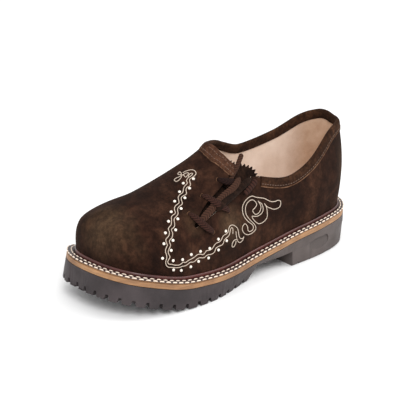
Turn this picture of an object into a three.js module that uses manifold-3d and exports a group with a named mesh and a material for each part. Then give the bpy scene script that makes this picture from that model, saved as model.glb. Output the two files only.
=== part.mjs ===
// Haferl shoe for the left foot: a hollow suede upper that laces at its outer side,
// on a stitched storm welt, a leather midsole and a lugged rubber outsole.
// Millimetres. X runs from the toe (-) to the heel (+), Y from the outer side of the
// foot (-) to the inner side (+), and Z up from the floor. A station is a distance
// from the back of the heel towards the toe.
import * as THREE from "three";
import { mergeVertices } from "three/addons/utils/BufferGeometryUtils.js";
import Module from "manifold-3d";

const wasm = await Module();
wasm.setup();

// Driving dimensions of the sole
const soleLength = 298; // over the welt, heel to toe
const ballWidth = 113; // over the welt, at the ball
const treadThickness = 18.3; // rubber under the ball, lugs included
const heelThickness = 28.6; // rubber under the heel
const archThickness = 8.2; // rubber under the arch
const toeSpring = 18; // rise of the rubber's top at the toe
const midsoleThickness = 4.5;
const weltThickness = 2.2;
const weltShelfFront = 6; // stitched shelf outside the bead
const weltShelfHeel = 4.5;
const beadWidth = 2.6; // rounded lip that seals the upper
const beadHeight = 2.8;
const insoleThickness = 3;

// Driving dimensions of the tread
const breastStation = 97; // front face of the heel
const breastRake = 3; // the foot of that face lies further back
const heelTaper = 2; // how far the heel narrows down to the floor
const heelEdgeRound = 1.4; // rounded lower edge of the heel
const treadRearStation = 138; // where the thick forefoot tread ends
const treadRearSlope = 13; // length of the ramp up to the arch
const waistTaper = 9; // how far the tread draws in below, at its rear end
const waistTaperLength = 85;
const archTaperLength = 45;
const lugPitch = 12.4; // along the edge of the forefoot
const lugNotchWidth = 4.8; // at the floor
const lugNotchTop = 2.6; // at its roof
const lugNotchHeight = 4.8;
const lugNotchDepth = 11; // from the edge inwards
const heelNotchPitch = 15.5;
const heelNotchWidth = 3.4;
const heelNotchHeight = 1.8;
const heelNotchDepth = 9;
const grooveDepth = 4.5; // field between the edge lugs and the middle lugs
const grooveInset = 17; // from the edge of the sole
const middleLugPitch = 21;
const middleLugLength = 13;
const heelPanelLength = 27; // plain sunk panel on the outer side of the heel
const heelPanelStation = 58; // its middle
const heelPanelHeight = 12;
const heelPanelDepth = 0.8;

// Driving dimensions of the upper and what lies in it
const instepHeight = 100; // throat over the top of the midsole
const upperWall = 2;
const collarWidth = 7.6; // binding around the opening, on both faces
const collarThickness = 1;
const clearance = 0.3; // between curved pieces that meet
const collarSlack = 0.25; // further gap of the binding on the lining side
const throatEase = 0.75; // further gap where the binding turns at the throat
const tongueThickness = 1.6;
const tongueTuck = 3; // the back border lies this much deeper
const tongueTooth = 2.2; // height of the pinked top edge
const tongueCrown = 6; // how far that edge rises in its middle
const laceWidth = 7.6;
const laceThickness = 3.2;
const laceEndWidth = 5;

// Each row is a section of the last, from the heel (0) to the toe (11).
const table = (names, rows) =>
  rows.map((row) => Object.fromEntries(names.map((name, i) => [name, row[i]])));

// Outline of the welt. Stations are shares of soleLength, widths of ballWidth / 2.
const outlineRows = table(
  ["section", "station", "lateral", "medial"],
  [
    [0, 0.0, 0.0, 0.0],
    [1, 0.027, -0.31, 0.35],
    [2, 0.087, -0.557, 0.584],
    [3, 0.195, -0.708, 0.673],
    [4, 0.336, -0.77, 0.646],
    [5, 0.487, -0.867, 0.708],
    [6, 0.621, -1.018, 0.876],
    [7, 0.732, -1.018, 0.991],
    [8, 0.839, -0.955, 1.0],
    [9, 0.93, -0.74, 1.0],
    [10, 0.984, -0.31, 0.67],
    [11, 1.0, 0.24, 0.24],
  ],
);
const lastSection = outlineRows.length - 1;

// Side profile of the rubber's top. It lies at treadThickness, plus a share of the
// extra heel thickness, plus a share of toeSpring. Stations are shares of soleLength.
const profileRows = table(
  ["station", "heel", "toe"],
  [
    [0.0, 1.0, 0.0],
    [0.133, 1.0, 0.0],
    [0.267, 0.77, 0.0],
    [0.4, 0.36, 0.0],
    [0.533, 0.05, 0.0],
    [0.62, 0.0, 0.0],
    [0.7, 0.0, 0.02],
    [0.783, 0.0, 0.136],
    [0.9, 0.0, 0.61],
    [1.0, 0.0, 1.0],
  ],
);

// Top line of the collar on each side, from the heel to the throat. Stations are
// shares of soleLength, y of ballWidth / 2, and rise of instepHeight, counted from the
// midsole. lean is the slope of the wall there, in degrees inwards from upright, and
// low and high are the lengths of the handles of the wall's curve.
const throatSection = 5.25;
const lateralTopline = table(
  ["section", "station", "y", "rise", "lean", "low", "high"],
  [
    [0, 0.0235, 0.018, 0.86, 10, 0.42, 0.3],
    [0.5, 0.029, -0.12, 0.852, 10, 0.42, 0.3],
    [1, 0.046, -0.235, 0.842, 10, 0.42, 0.3],
    [2, 0.107, -0.372, 0.793, 10, 0.42, 0.3],
    [3, 0.195, -0.504, 0.639, 11, 0.42, 0.3],
    [3.5, 0.262, -0.549, 0.566, 12, 0.41, 0.3],
    [4, 0.332, -0.549, 0.56, 14, 0.4, 0.3],
    [4.5, 0.433, -0.513, 0.672, 22, 0.37, 0.31],
    [5, 0.503, -0.46, 0.76, 30, 0.34, 0.32],
    [5.25, 0.52, -0.41, 0.785, 33, 0.34, 0.32],
  ],
);
const medialTopline = table(
  ["section", "station", "y", "rise", "lean", "low", "high"],
  [
    [0, 0.0235, 0.018, 0.86, 10, 0.42, 0.3],
    [0.5, 0.0275, 0.152, 0.885, 10, 0.42, 0.3],
    [1, 0.042, 0.275, 0.889, 9, 0.42, 0.3],
    [2, 0.091, 0.46, 0.842, 8, 0.42, 0.3],
    [3, 0.195, 0.549, 0.738, 9, 0.42, 0.3],
    [4, 0.339, 0.52, 0.737, 18, 0.4, 0.32],
    [4.5, 0.419, 0.42, 0.848, 40, 0.41, 0.4],
    [4.75, 0.46, 0.325, 0.918, 55, 0.42, 0.45],
    [5, 0.5, 0.2, 0.967, 70, 0.42, 0.48],
    [5.25, 0.54, 0.053, 0.993, 88, 0.42, 0.5],
  ],
);

// Ridge of the vamp, from the throat to the front of the toe box.
const ridgeRows = table(
  ["section", "station", "y", "rise", "low", "high"],
  [
    [5.25, 0.54, 0.053, 0.993, 0.42, 0.5],
    [6, 0.597, 0.075, 0.885, 0.48, 0.54],
    [7, 0.681, 0.106, 0.762, 0.56, 0.58],
    [8, 0.775, 0.142, 0.652, 0.62, 0.6],
    [9, 0.85, 0.177, 0.558, 0.68, 0.64],
    [10, 0.893, 0.204, 0.515, 0.72, 0.66],
    [11, 0.905, 0.23, 0.496, 0.74, 0.68],
  ],
);

// The back edge of the vamp runs down from the throat along its first column. This is
// the share of that column at which the corner beside the lacing lies.
const vampCorner = 0.62;

// Lean of the wall outwards at the welt, in degrees
const flareRows = table(
  ["section", "flare"],
  [
    [0, 14],
    [2, 12],
    [4, 9],
    [7, 9],
    [11, 8],
  ],
);

// A smooth curve through the rows of a table: it returns all columns at a place.
function tableCurve(rows, key) {
  const names = Object.keys(rows[0]);
  const slope = (i, name) => {
    const a = rows[Math.max(i - 1, 0)];
    const b = rows[Math.min(i + 1, rows.length - 1)];
    return (b[name] - a[name]) / (b[key] - a[key]);
  };
  return (place) => {
    const x = THREE.MathUtils.clamp(place, rows[0][key], rows[rows.length - 1][key]);
    let i = 0;
    while (i < rows.length - 2 && x > rows[i + 1][key]) i += 1;
    const span = rows[i + 1][key] - rows[i][key];
    const t = (x - rows[i][key]) / span;
    const at = {};
    for (const name of names) {
      const [p, q] = [rows[i][name], rows[i + 1][name]];
      const [m, n] = [slope(i, name) * span, slope(i + 1, name) * span];
      const c = 3 * (q - p) - 2 * m - n;
      const d = 2 * (p - q) + m + n;
      at[name] = p + t * (m + t * (c + t * d));
    }
    return at;
  };
}

const profileAt = tableCurve(profileRows, "station");
const toplineAt = {
  lateral: tableCurve(lateralTopline, "section"),
  medial: tableCurve(medialTopline, "section"),
};
const ridgeAt = tableCurve(ridgeRows, "section");
const flareAt = tableCurve(flareRows, "section");

// Height of the rubber's top, and its slope towards the toe
function rubberTop(station) {
  const row = profileAt(station / soleLength);
  return treadThickness + row.heel * (heelThickness - treadThickness) + row.toe * toeSpring;
}
function rubberSlope(station) {
  const step = 1;
  return (rubberTop(station + step) - rubberTop(station - step)) / (2 * step);
}

// A point of the sole: the layers are bent together, so height is counted square to
// the rubber's top, upwards.
function bent(station, y, height) {
  const slope = rubberSlope(station);
  const length = Math.hypot(1, slope);
  const s = station - (slope / length) * height;
  return new THREE.Vector3(soleLength / 2 - s, y, rubberTop(station) + height / length);
}
function bentUp(station) {
  return new THREE.Vector3(rubberSlope(station), 0, 1).normalize();
}

// Outline of the welt as one closed curve, in (station, y)
const outlineCurve = new THREE.CatmullRomCurve3(
  [
    ...outlineRows.map((r) => [r.station, r.lateral]),
    ...outlineRows.slice(1, -1).reverse().map((r) => [r.station, r.medial]),
  ].map(([station, width]) => new THREE.Vector3(station * soleLength, (width * ballWidth) / 2, 0)),
  true,
  "catmullrom",
  0.5,
);
outlineCurve.arcLengthDivisions = 1200;

// side is "lateral" or "medial"; the place on the outline is given by the section
function outlineTurn(side, section) {
  const share = section / (2 * lastSection);
  return side === "lateral" ? share : 1 - share;
}
function outlineFrame(turn) {
  const t = ((turn % 1) + 1) % 1;
  const point = outlineCurve.getPoint(t);
  const ahead = outlineCurve.getPoint((t + 0.002) % 1);
  const behind = outlineCurve.getPoint((t + 0.998) % 1);
  const along = ahead.sub(behind).normalize();
  return { point, along, inward: new THREE.Vector3(-along.y, along.x, 0) };
}
function outlinePoint(turn, inset) {
  const { point, inward } = outlineFrame(turn);
  return point.addScaledVector(inward, inset);
}

// The outline moved inwards by inset, as y over the station on both sides
const OUTLINE_STEPS = 528;
function outlineWidths(inset) {
  const points = [];
  for (let i = 0; i < OUTLINE_STEPS; i += 1) points.push(outlinePoint(i / OUTLINE_STEPS, inset));
  const back = points.reduce((b, p, i) => (p.x < points[b].x ? i : b), 0);
  const front = points.reduce((b, p, i) => (p.x > points[b].x ? i : b), 0);
  const walk = (from, to) => {
    const list = [];
    for (let i = from; i !== to; i = (i + 1) % OUTLINE_STEPS) list.push(points[i]);
    list.push(points[to]);
    return list;
  };
  const sides = { lateral: walk(back, front), medial: walk(front, back).reverse() };
  const yAt = (list, station) => {
    let i = 1;
    while (i < list.length - 1 && list[i].x < station) i += 1;
    const t = (station - list[i - 1].x) / (list[i].x - list[i - 1].x || 1);
    return THREE.MathUtils.lerp(list[i - 1].y, list[i].y, THREE.MathUtils.clamp(t, 0, 1));
  };
  return {
    start: points[back].x,
    end: points[front].x,
    y: (side, station) => yAt(sides[side], station),
  };
}

// Solids and meshes

// A closed surface whose triangles are turned, all together, to face out
function geometryFrom(points, triangles) {
  let volume = 0;
  for (let i = 0; i < triangles.length; i += 3) {
    const [a, b, c] = [0, 1, 2].map((k) => points[triangles[i + k]]);
    volume += a.dot(b.clone().cross(c));
  }
  const geometry = new THREE.BufferGeometry();
  geometry.setAttribute("position", new THREE.Float32BufferAttribute(points.flatMap((p) => p.toArray()), 3));
  geometry.setIndex(volume < 0 ? [...triangles].reverse() : triangles);
  return geometry;
}

function solidOf(source) {
  const bare = source.clone();
  bare.deleteAttribute("normal");
  bare.deleteAttribute("uv");
  const merged = mergeVertices(bare, 1e-4);
  const vertProperties = merged.attributes.position.array;
  const triVerts = new Uint32Array(merged.index.array);
  return new wasm.Manifold(new wasm.Mesh({ numProp: 3, vertProperties, triVerts }));
}

function geometryOf(solid) {
  const mesh = solid.getMesh();
  const geometry = new THREE.BufferGeometry();
  geometry.setAttribute("position", new THREE.BufferAttribute(mesh.vertProperties, 3));
  geometry.setIndex(new THREE.BufferAttribute(mesh.triVerts, 1));
  return geometry;
}

// The mean normal of the faces around each point, shared by points at one place
function cornerNormals(points, triangles) {
  const keyOf = (p) => p.toArray().map((v) => Math.round(v * 1e4)).join(" ");
  const sums = new Map(points.map((p) => [keyOf(p), new THREE.Vector3()]));
  for (let i = 0; i < triangles.length; i += 3) {
    const [a, b, c] = [0, 1, 2].map((k) => points[triangles[i + k]]);
    const normal = b.clone().sub(a).cross(c.clone().sub(a));
    for (const p of [a, b, c]) sums.get(keyOf(p)).add(normal);
  }
  return points.map((p) => sums.get(keyOf(p)).clone().normalize());
}

// A closed surface from rings of equally many points. Rings run around, and the first
// and last are closed by strips across when capped.
function loftRings(rings, { capped, loop }) {
  const count = rings[0].length;
  const triangles = [];
  const quad = (a, b, c, d) => triangles.push(a, b, c, a, c, d);
  const last = loop ? rings.length : rings.length - 1;
  for (let r = 0; r < last; r += 1) {
    const next = (r + 1) % rings.length;
    for (let i = 0; i < count; i += 1) {
      const j = (i + 1) % count;
      quad(r * count + i, r * count + j, next * count + j, next * count + i);
    }
  }
  if (capped) {
    const strip = (base, flip) => {
      for (let i = 0; i < count / 2 - 1; i += 1) {
        const [a, b] = [base + i, base + i + 1];
        const [c, d] = [base + count - 2 - i, base + count - 1 - i];
        if (flip) quad(d, c, b, a);
        else quad(a, b, c, d);
      }
    };
    strip(0, true);
    strip((rings.length - 1) * count, false);
  }
  return geometryFrom(rings.flat(), triangles);
}

// Stations from one end of a layer to the other, closer together at the round ends
function endShares(steps) {
  return Array.from({ length: steps + 1 }, (_, i) => (1 - Math.cos((Math.PI * (i + 0.35)) / (steps + 0.7))) / 2);
}

// One level of a layer: a ring of points at the given inset, its height worked out
// from the station. from and to limit it to a stretch of the sole.
function levelRing({ inset, height, from, to, steps, extra = [], flat = false, taper = () => 0 }) {
  const edge = outlineWidths(inset);
  const drawn = outlineWidths(inset + waistTaper);
  const widths = {
    ...edge,
    y: (side, s) => THREE.MathUtils.lerp(edge.y(side, s), drawn.y(side, s), taper(s)),
  };
  const start = from ?? widths.start;
  const end = to ?? widths.end;
  const stations = endShares(steps).map((t) => start + t * (end - start));
  const all = [...stations, ...extra].sort((a, b) => a - b);
  const place = (side, s) =>
    flat
      ? new THREE.Vector3(soleLength / 2 - s, widths.y(side, s), height(s))
      : bent(s, widths.y(side, s), height(s));
  return [...all.map((s) => place("lateral", s)), ...all.reverse().map((s) => place("medial", s))];
}

// Rubber outsole

const LAYER_STEPS = 34;
const treadFront = treadRearStation + treadRearSlope; // front end of the ramp

// Height of the underside of the rubber, counted from the rubber's top
function undersideHeight(station) {
  const ramp = THREE.MathUtils.clamp((station - treadRearStation) / treadRearSlope, 0, 1);
  const floor = -rubberTop(station) * Math.hypot(1, rubberSlope(station));
  const tread = Math.max(floor, -treadThickness);
  return THREE.MathUtils.lerp(-archThickness, tread, ramp);
}

// Share of waistTaper by which the underside draws in
function waistShare(station) {
  const front = THREE.MathUtils.smoothstep(treadFront + waistTaperLength - station, 0, waistTaperLength);
  const rear = THREE.MathUtils.smoothstep(station, treadRearStation - archTaperLength, treadFront);
  return front * rear;
}

function outsoleRunner() {
  const extra = [treadRearStation, treadFront];
  const level = (height, taper) => levelRing({ inset: 0, height, steps: LAYER_STEPS, extra, taper });
  const rings = [level(undersideHeight, waistShare), level(() => -clearance, () => 0)];
  return solidOf(loftRings(rings, { capped: true }));
}

function heelBlock() {
  const overlap = archThickness / 2;
  const level = (share, inset, height) => {
    const foot = 1 - share;
    return levelRing({ inset, height, to: breastStation - breastRake * foot, steps: 14, flat: true });
  };
  const roundShare = heelEdgeRound / heelThickness;
  const rings = [
    level(0, heelTaper + heelEdgeRound, () => 0),
    level(roundShare, heelTaper, () => heelEdgeRound),
    level(1, 0, (s) => rubberTop(s) - overlap),
  ];
  return solidOf(loftRings(rings, { capped: true }));
}

// A trapezoid notch cut in from the edge at a place on the outline
function edgeNotch(turn, { width, roof, height, depth, inset }) {
  const { point, along, inward } = outlineFrame(turn);
  const margin = 4;
  const shape = new THREE.Shape([
    new THREE.Vector2(-width / 2, -margin),
    new THREE.Vector2(width / 2, -margin),
    new THREE.Vector2(width / 2, 0),
    new THREE.Vector2(roof / 2, height),
    new THREE.Vector2(-roof / 2, height),
    new THREE.Vector2(-width / 2, 0),
  ]);
  const reach = depth + margin + inset + waistShare(point.x) * waistTaper;
  const prism = new THREE.ExtrudeGeometry(shape, { depth: reach, bevelEnabled: false });
  const under = undersideHeight(point.x);
  const foot = bent(point.x, point.y, inset ? 0 : under);
  if (inset) foot.z = 0;
  const tangent = new THREE.Vector3(-along.x, along.y, 0);
  const up = inset ? new THREE.Vector3(0, 0, 1) : bentUp(point.x);
  const across = new THREE.Vector3(-inward.x, inward.y, 0);
  const flatTangent = tangent.clone().addScaledVector(up, -tangent.dot(up)).normalize();
  const flatInward = new THREE.Vector3().crossVectors(flatTangent, up).normalize();
  if (flatInward.dot(across) < 0) {
    flatTangent.negate();
    flatInward.negate();
  }
  prism.applyMatrix4(new THREE.Matrix4().makeBasis(flatTangent, up, flatInward));
  const origin = foot.addScaledVector(flatInward, -margin);
  prism.translate(origin.x, origin.y, origin.z);
  return solidOf(prism);
}

// Places on the outline at equal distances, from one turn to another
function equalTurns(from, to, pitch) {
  const total = outlineCurve.getLength();
  const lengths = outlineCurve.getLengths(1200);
  const lengthAt = (turn) => lengths[Math.round(turn * 1200)];
  const [a, b] = [lengthAt(from), lengthAt(to)];
  const count = Math.round((b - a) / pitch);
  return Array.from({ length: count + 1 }, (_, i) => outlineCurve.getUtoTmapping((a + ((b - a) * i) / count) / total));
}

function turnAtStation(side, station) {
  let [low, high] = [0, lastSection];
  for (let i = 0; i < 40; i += 1) {
    const middle = (low + high) / 2;
    if (outlinePoint(outlineTurn(side, middle), 0).x < station) low = middle;
    else high = middle;
  }
  return outlineTurn(side, low);
}

function forefootNotches() {
  const first = treadFront + lugPitch / 2;
  const turns = equalTurns(turnAtStation("lateral", first), turnAtStation("medial", first), lugPitch);
  const size = { width: lugNotchWidth, roof: lugNotchTop, height: lugNotchHeight, depth: lugNotchDepth, inset: 0 };
  return turns.map((turn) => edgeNotch(turn, size));
}

function heelNotches() {
  const size = {
    width: heelNotchWidth,
    roof: heelNotchWidth,
    height: heelNotchHeight,
    depth: heelNotchDepth,
    inset: heelTaper + heelEdgeRound,
  };
  const first = breastStation - breastRake - heelNotchPitch / 2;
  const side = (name) => {
    const [a, b] = [turnAtStation(name, 0.02 * soleLength), turnAtStation(name, first)].sort((p, q) => p - q);
    return equalTurns(a, b, heelNotchPitch);
  };
  return [...side("lateral"), ...side("medial")].map((turn) => edgeNotch(turn, size));
}

// The field under the forefoot that leaves a row of middle lugs standing
function middleField() {
  const from = treadFront + middleLugPitch / 2;
  const to = soleLength - grooveInset;
  const level = (height) => levelRing({ inset: grooveInset, height, from, to, steps: 12 });
  const field = solidOf(
    loftRings([level((s) => undersideHeight(s) - grooveDepth), level((s) => undersideHeight(s) + grooveDepth)], {
      capped: true,
    }),
  );
  const lugCount = Math.floor((to - from) / middleLugPitch);
  const lugs = Array.from({ length: lugCount }, (_, i) => {
    const middle = from + (i + 0.5) * ((to - from) / lugCount);
    const strip = (inset, height) =>
      levelRing({
        inset,
        height,
        from: middle - middleLugLength / 2,
        to: middle + middleLugLength / 2,
        steps: 2,
      });
    const inset = grooveInset + lugNotchWidth;
    return solidOf(
      loftRings([strip(inset, (s) => undersideHeight(s) - 3 * grooveDepth), strip(inset, () => 0)], { capped: true }),
    );
  });
  return lugs.reduce((left, lug) => left.subtract(lug), field);
}

function heelPanel() {
  const station = heelPanelStation;
  const radius = heelPanelHeight / 2;
  const half = heelPanelLength / 2 - radius;
  const shape = new THREE.Shape();
  shape.absarc(half, 0, radius, -Math.PI / 2, Math.PI / 2, false);
  shape.absarc(-half, 0, radius, Math.PI / 2, (3 * Math.PI) / 2, false);
  const margin = 6;
  const prism = new THREE.ExtrudeGeometry(shape, { depth: margin, bevelEnabled: false, curveSegments: 6 });
  const turn = turnAtStation("lateral", station);
  const { point, along, inward } = outlineFrame(turn);
  const height = heelThickness / 2;
  const taper = heelTaper / 2;
  const tangent = new THREE.Vector3(along.x, -along.y, 0);
  const up = new THREE.Vector3(0, heelTaper, heelThickness).normalize();
  const out = new THREE.Vector3().crossVectors(tangent, up).normalize();
  if (out.y > 0) {
    tangent.negate();
    out.negate();
  }
  prism.applyMatrix4(new THREE.Matrix4().makeBasis(tangent, up, out));
  const depth = taper + heelPanelDepth;
  prism.translate(
    soleLength / 2 - point.x - inward.x * depth,
    point.y + inward.y * depth,
    height,
  );
  return solidOf(prism);
}

function outsole() {
  const body = outsoleRunner().add(heelBlock());
  const cuts = [...forefootNotches(), ...heelNotches(), middleField(), heelPanel()];
  return geometryOf(cuts.reduce((left, cut) => left.subtract(cut), body));
}

// Leather layers

function midsole() {
  const level = (height) => levelRing({ inset: 0, height: () => height, steps: LAYER_STEPS });
  return loftRings([level(0), level(midsoleThickness)], { capped: true });
}

const featherHeight = midsoleThickness + clearance;

// The welt's shelf is narrower around the heel.
function shelfWidth(section) {
  return THREE.MathUtils.lerp(weltShelfHeel, weltShelfFront, THREE.MathUtils.smoothstep(section, 3, 6));
}
function allowance(section) {
  return shelfWidth(section) + beadWidth + clearance;
}

// Upper

// A point of the upper's outer face. rise runs from 0 at the feather edge to 1 at the
// collar or the ridge; past 1 the face goes on straight.
function columnHandles(side, section, closed = section >= throatSection) {
  const turn = outlineTurn(side, section);
  const { inward } = outlineFrame(turn);
  const edge = outlinePoint(turn, allowance(section));
  const foot = bent(edge.x, edge.y, featherHeight);
  const row = closed ? ridgeAt(section) : toplineAt[side](section);
  const lean = THREE.MathUtils.degToRad(closed ? 90 : row.lean);
  const station = row.station * soleLength;
  const level = (s) => bent(s, 0, featherHeight).z;
  const top = new THREE.Vector3(
    soleLength / 2 - station,
    (row.y * ballWidth) / 2,
    level(station) + row.rise * instepHeight,
  );
  const step = 0.1;
  const near = ridgeAt(Math.max(section, throatSection) - step);
  const far = ridgeAt(Math.max(section, throatSection + step) + step);
  const rise = (far.rise - near.rise) * instepHeight + level(far.station * soleLength) - level(near.station * soleLength);
  const ridgeSlope = -rise / ((far.station - near.station) * soleLength || 1);
  const into = new THREE.Vector3(-inward.x, inward.y, 0);
  const flare = THREE.MathUtils.degToRad(flareAt(section).flare);
  const start = new THREE.Vector3(0, 0, Math.cos(flare)).addScaledVector(into, -Math.sin(flare));
  const end = into.clone().multiplyScalar(Math.sin(lean));
  end.z = Math.cos(lean) + ridgeSlope * into.x * Math.sin(lean);
  end.normalize();
  const tall = top.z - foot.z;
  const wide = Math.hypot(top.x - foot.x, top.y - foot.y);
  const reach = wide * Math.sin(lean) + tall * Math.cos(lean);
  return {
    foot,
    top,
    low: foot.clone().addScaledVector(start, row.low * tall),
    high: top.clone().addScaledVector(end, -row.high * reach),
    end: end.clone().multiplyScalar(3 * row.high * reach),
  };
}
function columnPoint(column, rise) {
  const t = Math.min(rise, 1);
  const u = 1 - t;
  const point = new THREE.Vector3()
    .addScaledVector(column.foot, u * u * u)
    .addScaledVector(column.low, 3 * u * u * t)
    .addScaledVector(column.high, 3 * u * t * t)
    .addScaledVector(column.top, t * t * t);
  return point.addScaledVector(column.end, rise - t);
}
function facePoint(side, section, rise) {
  return columnPoint(columnHandles(side, section), rise);
}

const COLUMNS_PER_SECTION = 4;
const QUARTER_ROWS = 8;
const EDGE_ROWS = 5;
const halfCount = lastSection * COLUMNS_PER_SECTION;

// Shares of a column at which its rows lie. The columns of the vamp, and all of the
// inner side, have rows of their own beside the back edge of the vamp.
const quarterShares = Array.from({ length: QUARTER_ROWS + 1 }, (_, i) => i / QUARTER_ROWS);
const vampShares = [
  ...quarterShares.map((share) => share * vampCorner),
  ...Array.from({ length: EDGE_ROWS }, (_, i) => vampCorner + ((1 - vampCorner) * (i + 1)) / EDGE_ROWS),
];

// Columns around the last: along the outer side to the toe, back along the inner side
const wallColumns = Array.from({ length: 2 * halfCount }, (_, i) => {
  const side = i <= halfCount ? "lateral" : "medial";
  const section = (i <= halfCount ? i : 2 * halfCount - i) / COLUMNS_PER_SECTION;
  const short = side === "lateral" && section > 0 && section < throatSection;
  return { side, section, turn: outlineTurn(side, section), shares: short ? quarterShares : vampShares };
});

// Triangles between two neighbouring columns, also where they differ in rows
function zipColumns(first, second) {
  const triangles = [];
  let [i, j] = [0, 0];
  while (i < first.length - 1 || j < second.length - 1) {
    const rise = (list, k) => (k + 1) / (list.length - 1);
    const goFirst = j === second.length - 1 || (i < first.length - 1 && rise(first, i) <= rise(second, j));
    if (goFirst) {
      triangles.push(first[i], first[i + 1], second[j]);
      i += 1;
    } else {
      triangles.push(first[i], second[j + 1], second[j]);
      j += 1;
    }
  }
  return triangles;
}

// The hollow upper: an outer skin, an inner skin one wall further in, and the rims of
// the feather edge and the collar between them.
function upperShell() {
  const outer = [];
  const columns = wallColumns.map(({ side, section, shares }) => {
    const handles = columnHandles(side, section);
    return shares.map((share) => outer.push(columnPoint(handles, share)) - 1);
  });
  const skin = [];
  const brink = [];
  columns.forEach((column, i) => {
    const next = columns[(i + 1) % columns.length];
    const meets = column.length < next.length && i > 0;
    skin.push(...zipColumns(column, meets ? next.slice(0, column.length) : next));
    const { side, section } = wallColumns[i];
    if (section < throatSection) brink.push(column.at(-1));
    else if (section === throatSection && side === "lateral") brink.push(...column.slice(QUARTER_ROWS));
  });
  const normals = cornerNormals(outer, skin);
  const inner = outer.map((p, i) => p.clone().addScaledVector(normals[i], -upperWall));
  columns.forEach((column, i) => {
    const { section, turn } = wallColumns[i];
    const edge = outlinePoint(turn, allowance(section) + upperWall);
    inner[column[0]] = bent(edge.x, edge.y, featherHeight);
  });
  const count = outer.length;
  const lining = [...skin].reverse().map((v) => v + count);
  const rim = (loop, flip) =>
    loop.flatMap((a, i) => {
      const b = loop[(i + 1) % loop.length];
      const [p, q] = flip ? [b, a] : [a, b];
      return [p, q, q + count, p, q + count, p + count];
    });
  const triangles = [...skin, ...lining, ...rim(columns.map((c) => c[0])), ...rim(brink, true)];
  return solidOf(geometryFrom([...outer, ...inner], triangles));
}

// Slit of the lacing, from above the collar down to its lower end, as pairs of places
// on the face of the vamp. The face is carried on behind the vamp's back edge.
const slitRows = table(
  ["vampSection", "vampShare", "quarterSection", "quarterShare"],
  [
    [5.08, 0.76, 3.8, 0.66],
    [5.3, 0.6, 4.16, 0.53],
    [5.68, 0.575, 4.88, 0.5],
    [6.32, 0.545, 5.8, 0.455],
    [6.78, 0.47, 6.54, 0.415],
    [6.97, 0.415, 6.9, 0.395],
  ],
);

function vampPoint(section, share, distance = 0) {
  const at = (sec, t) => columnPoint(columnHandles("lateral", sec, true), t);
  const step = 0.02;
  const along = at(section + step, share).sub(at(section - step, share));
  const upward = at(section, share + step).sub(at(section, share - step));
  const normal = new THREE.Vector3().crossVectors(upward, along).normalize();
  return at(section, share).addScaledVector(normal, distance);
}

function slitCutter() {
  const beyond = 2 * (upperWall + collarThickness);
  const rings = slitRows.map((row) => [
    vampPoint(row.vampSection, row.vampShare, -beyond),
    vampPoint(row.vampSection, row.vampShare, beyond),
    vampPoint(row.quarterSection, row.quarterShare, beyond),
    vampPoint(row.quarterSection, row.quarterShare, -beyond),
  ]);
  return solidOf(loftRings(rings, { capped: true }));
}

function upper() {
  return geometryOf(upperShell().subtract(slitCutter()));
}

// Share of a column at which it stands a given height over its foot
function shareAtHeight(handles, up, height) {
  let [low, high] = [0, 0.5];
  for (let i = 0; i < 30; i += 1) {
    const middle = (low + high) / 2;
    if (columnPoint(handles, middle).sub(handles.foot).dot(up) < height) low = middle;
    else high = middle;
  }
  return low;
}

// The stitched welt with its bead, which follows the foot of the upper
function welt() {
  const shelfTop = featherHeight + weltThickness;
  const rings = wallColumns.map(({ side, section, turn }) => {
    const at = (inset, height) => {
      const p = outlinePoint(turn, inset);
      return bent(p.x, p.y, height);
    };
    const shelf = shelfWidth(section);
    const handles = columnHandles(side, section);
    const { inward, point } = outlineFrame(turn);
    const outward = new THREE.Vector3(inward.x, -inward.y, 0);
    const beside = (height) => {
      const share = shareAtHeight(handles, bentUp(point.x), height);
      return columnPoint(handles, share).addScaledVector(outward, clearance);
    };
    return [
      at(0, featherHeight),
      at(0, shelfTop),
      at(shelf, shelfTop),
      at(shelf + beadWidth * 0.08, shelfTop + beadHeight * 0.6),
      at(shelf + beadWidth * 0.3, shelfTop + beadHeight),
      beside(weltThickness + beadHeight * 0.8),
      beside(weltThickness * 0.5),
      at(allowance(section) - clearance, featherHeight),
    ];
  });
  return loftRings(rings, { loop: true });
}

function insole() {
  const ring = (height) => {
    const points = wallColumns.map(({ section, turn }) => {
      const p = outlinePoint(turn, allowance(section) + upperWall + clearance);
      return bent(p.x, p.y, height);
    });
    return [...points.slice(1), points[0]];
  };
  return loftRings([ring(featherHeight), ring(featherHeight + insoleThickness)], { capped: true });
}

function outwardNormal(side, section, rise, fromSection) {
  const step = 0.02;
  const low = Math.max(section - step, fromSection);
  const high = Math.min(low + 2 * step, lastSection);
  const top = Math.min(rise + step, 1);
  const along = facePoint(side, high, rise).sub(facePoint(side, low, rise));
  const upward = facePoint(side, section, top).sub(facePoint(side, section, top - 2 * step));
  const normal = new THREE.Vector3().crossVectors(upward, along).normalize();
  return side === "lateral" ? normal : normal.negate();
}

// Places along the edge of the opening, from the corner of the vamp up to the throat,
// back along the inner side, around the heel and forward along the outer side.
const quarterFrontSection = 4.5;
const throatTurn = 1.5; // sections over which the binding eases into the throat
function collarPlaces() {
  const edgeShares = [vampCorner + 0.02, ...vampShares.slice(QUARTER_ROWS + 1, -1)];
  const sections = (side) =>
    wallColumns.filter((c) => c.side === side && c.section < throatSection).map((c) => c.section);
  const inner = sections("medial");
  const outer = sections("lateral").filter((section) => section <= quarterFrontSection);
  const forward = [1, 0];
  const downward = [0, -1];
  const corner = [1, -0.35];
  return [
    ...edgeShares.map((rise) => ({
      side: "lateral",
      section: throatSection,
      rise,
      way: forward,
      from: throatSection,
    })),
    { side: "medial", section: throatSection, rise: 1, way: forward, from: 0 },
    { side: "medial", section: throatSection - 0.06, rise: 1, way: corner, from: 0 },
    ...inner.map((section) => ({ side: "medial", section, rise: 1, way: downward, from: 0 })),
    ...outer.map((section) => ({ side: "lateral", section, rise: 1, way: downward, from: 0 })),
  ];
}

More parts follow.
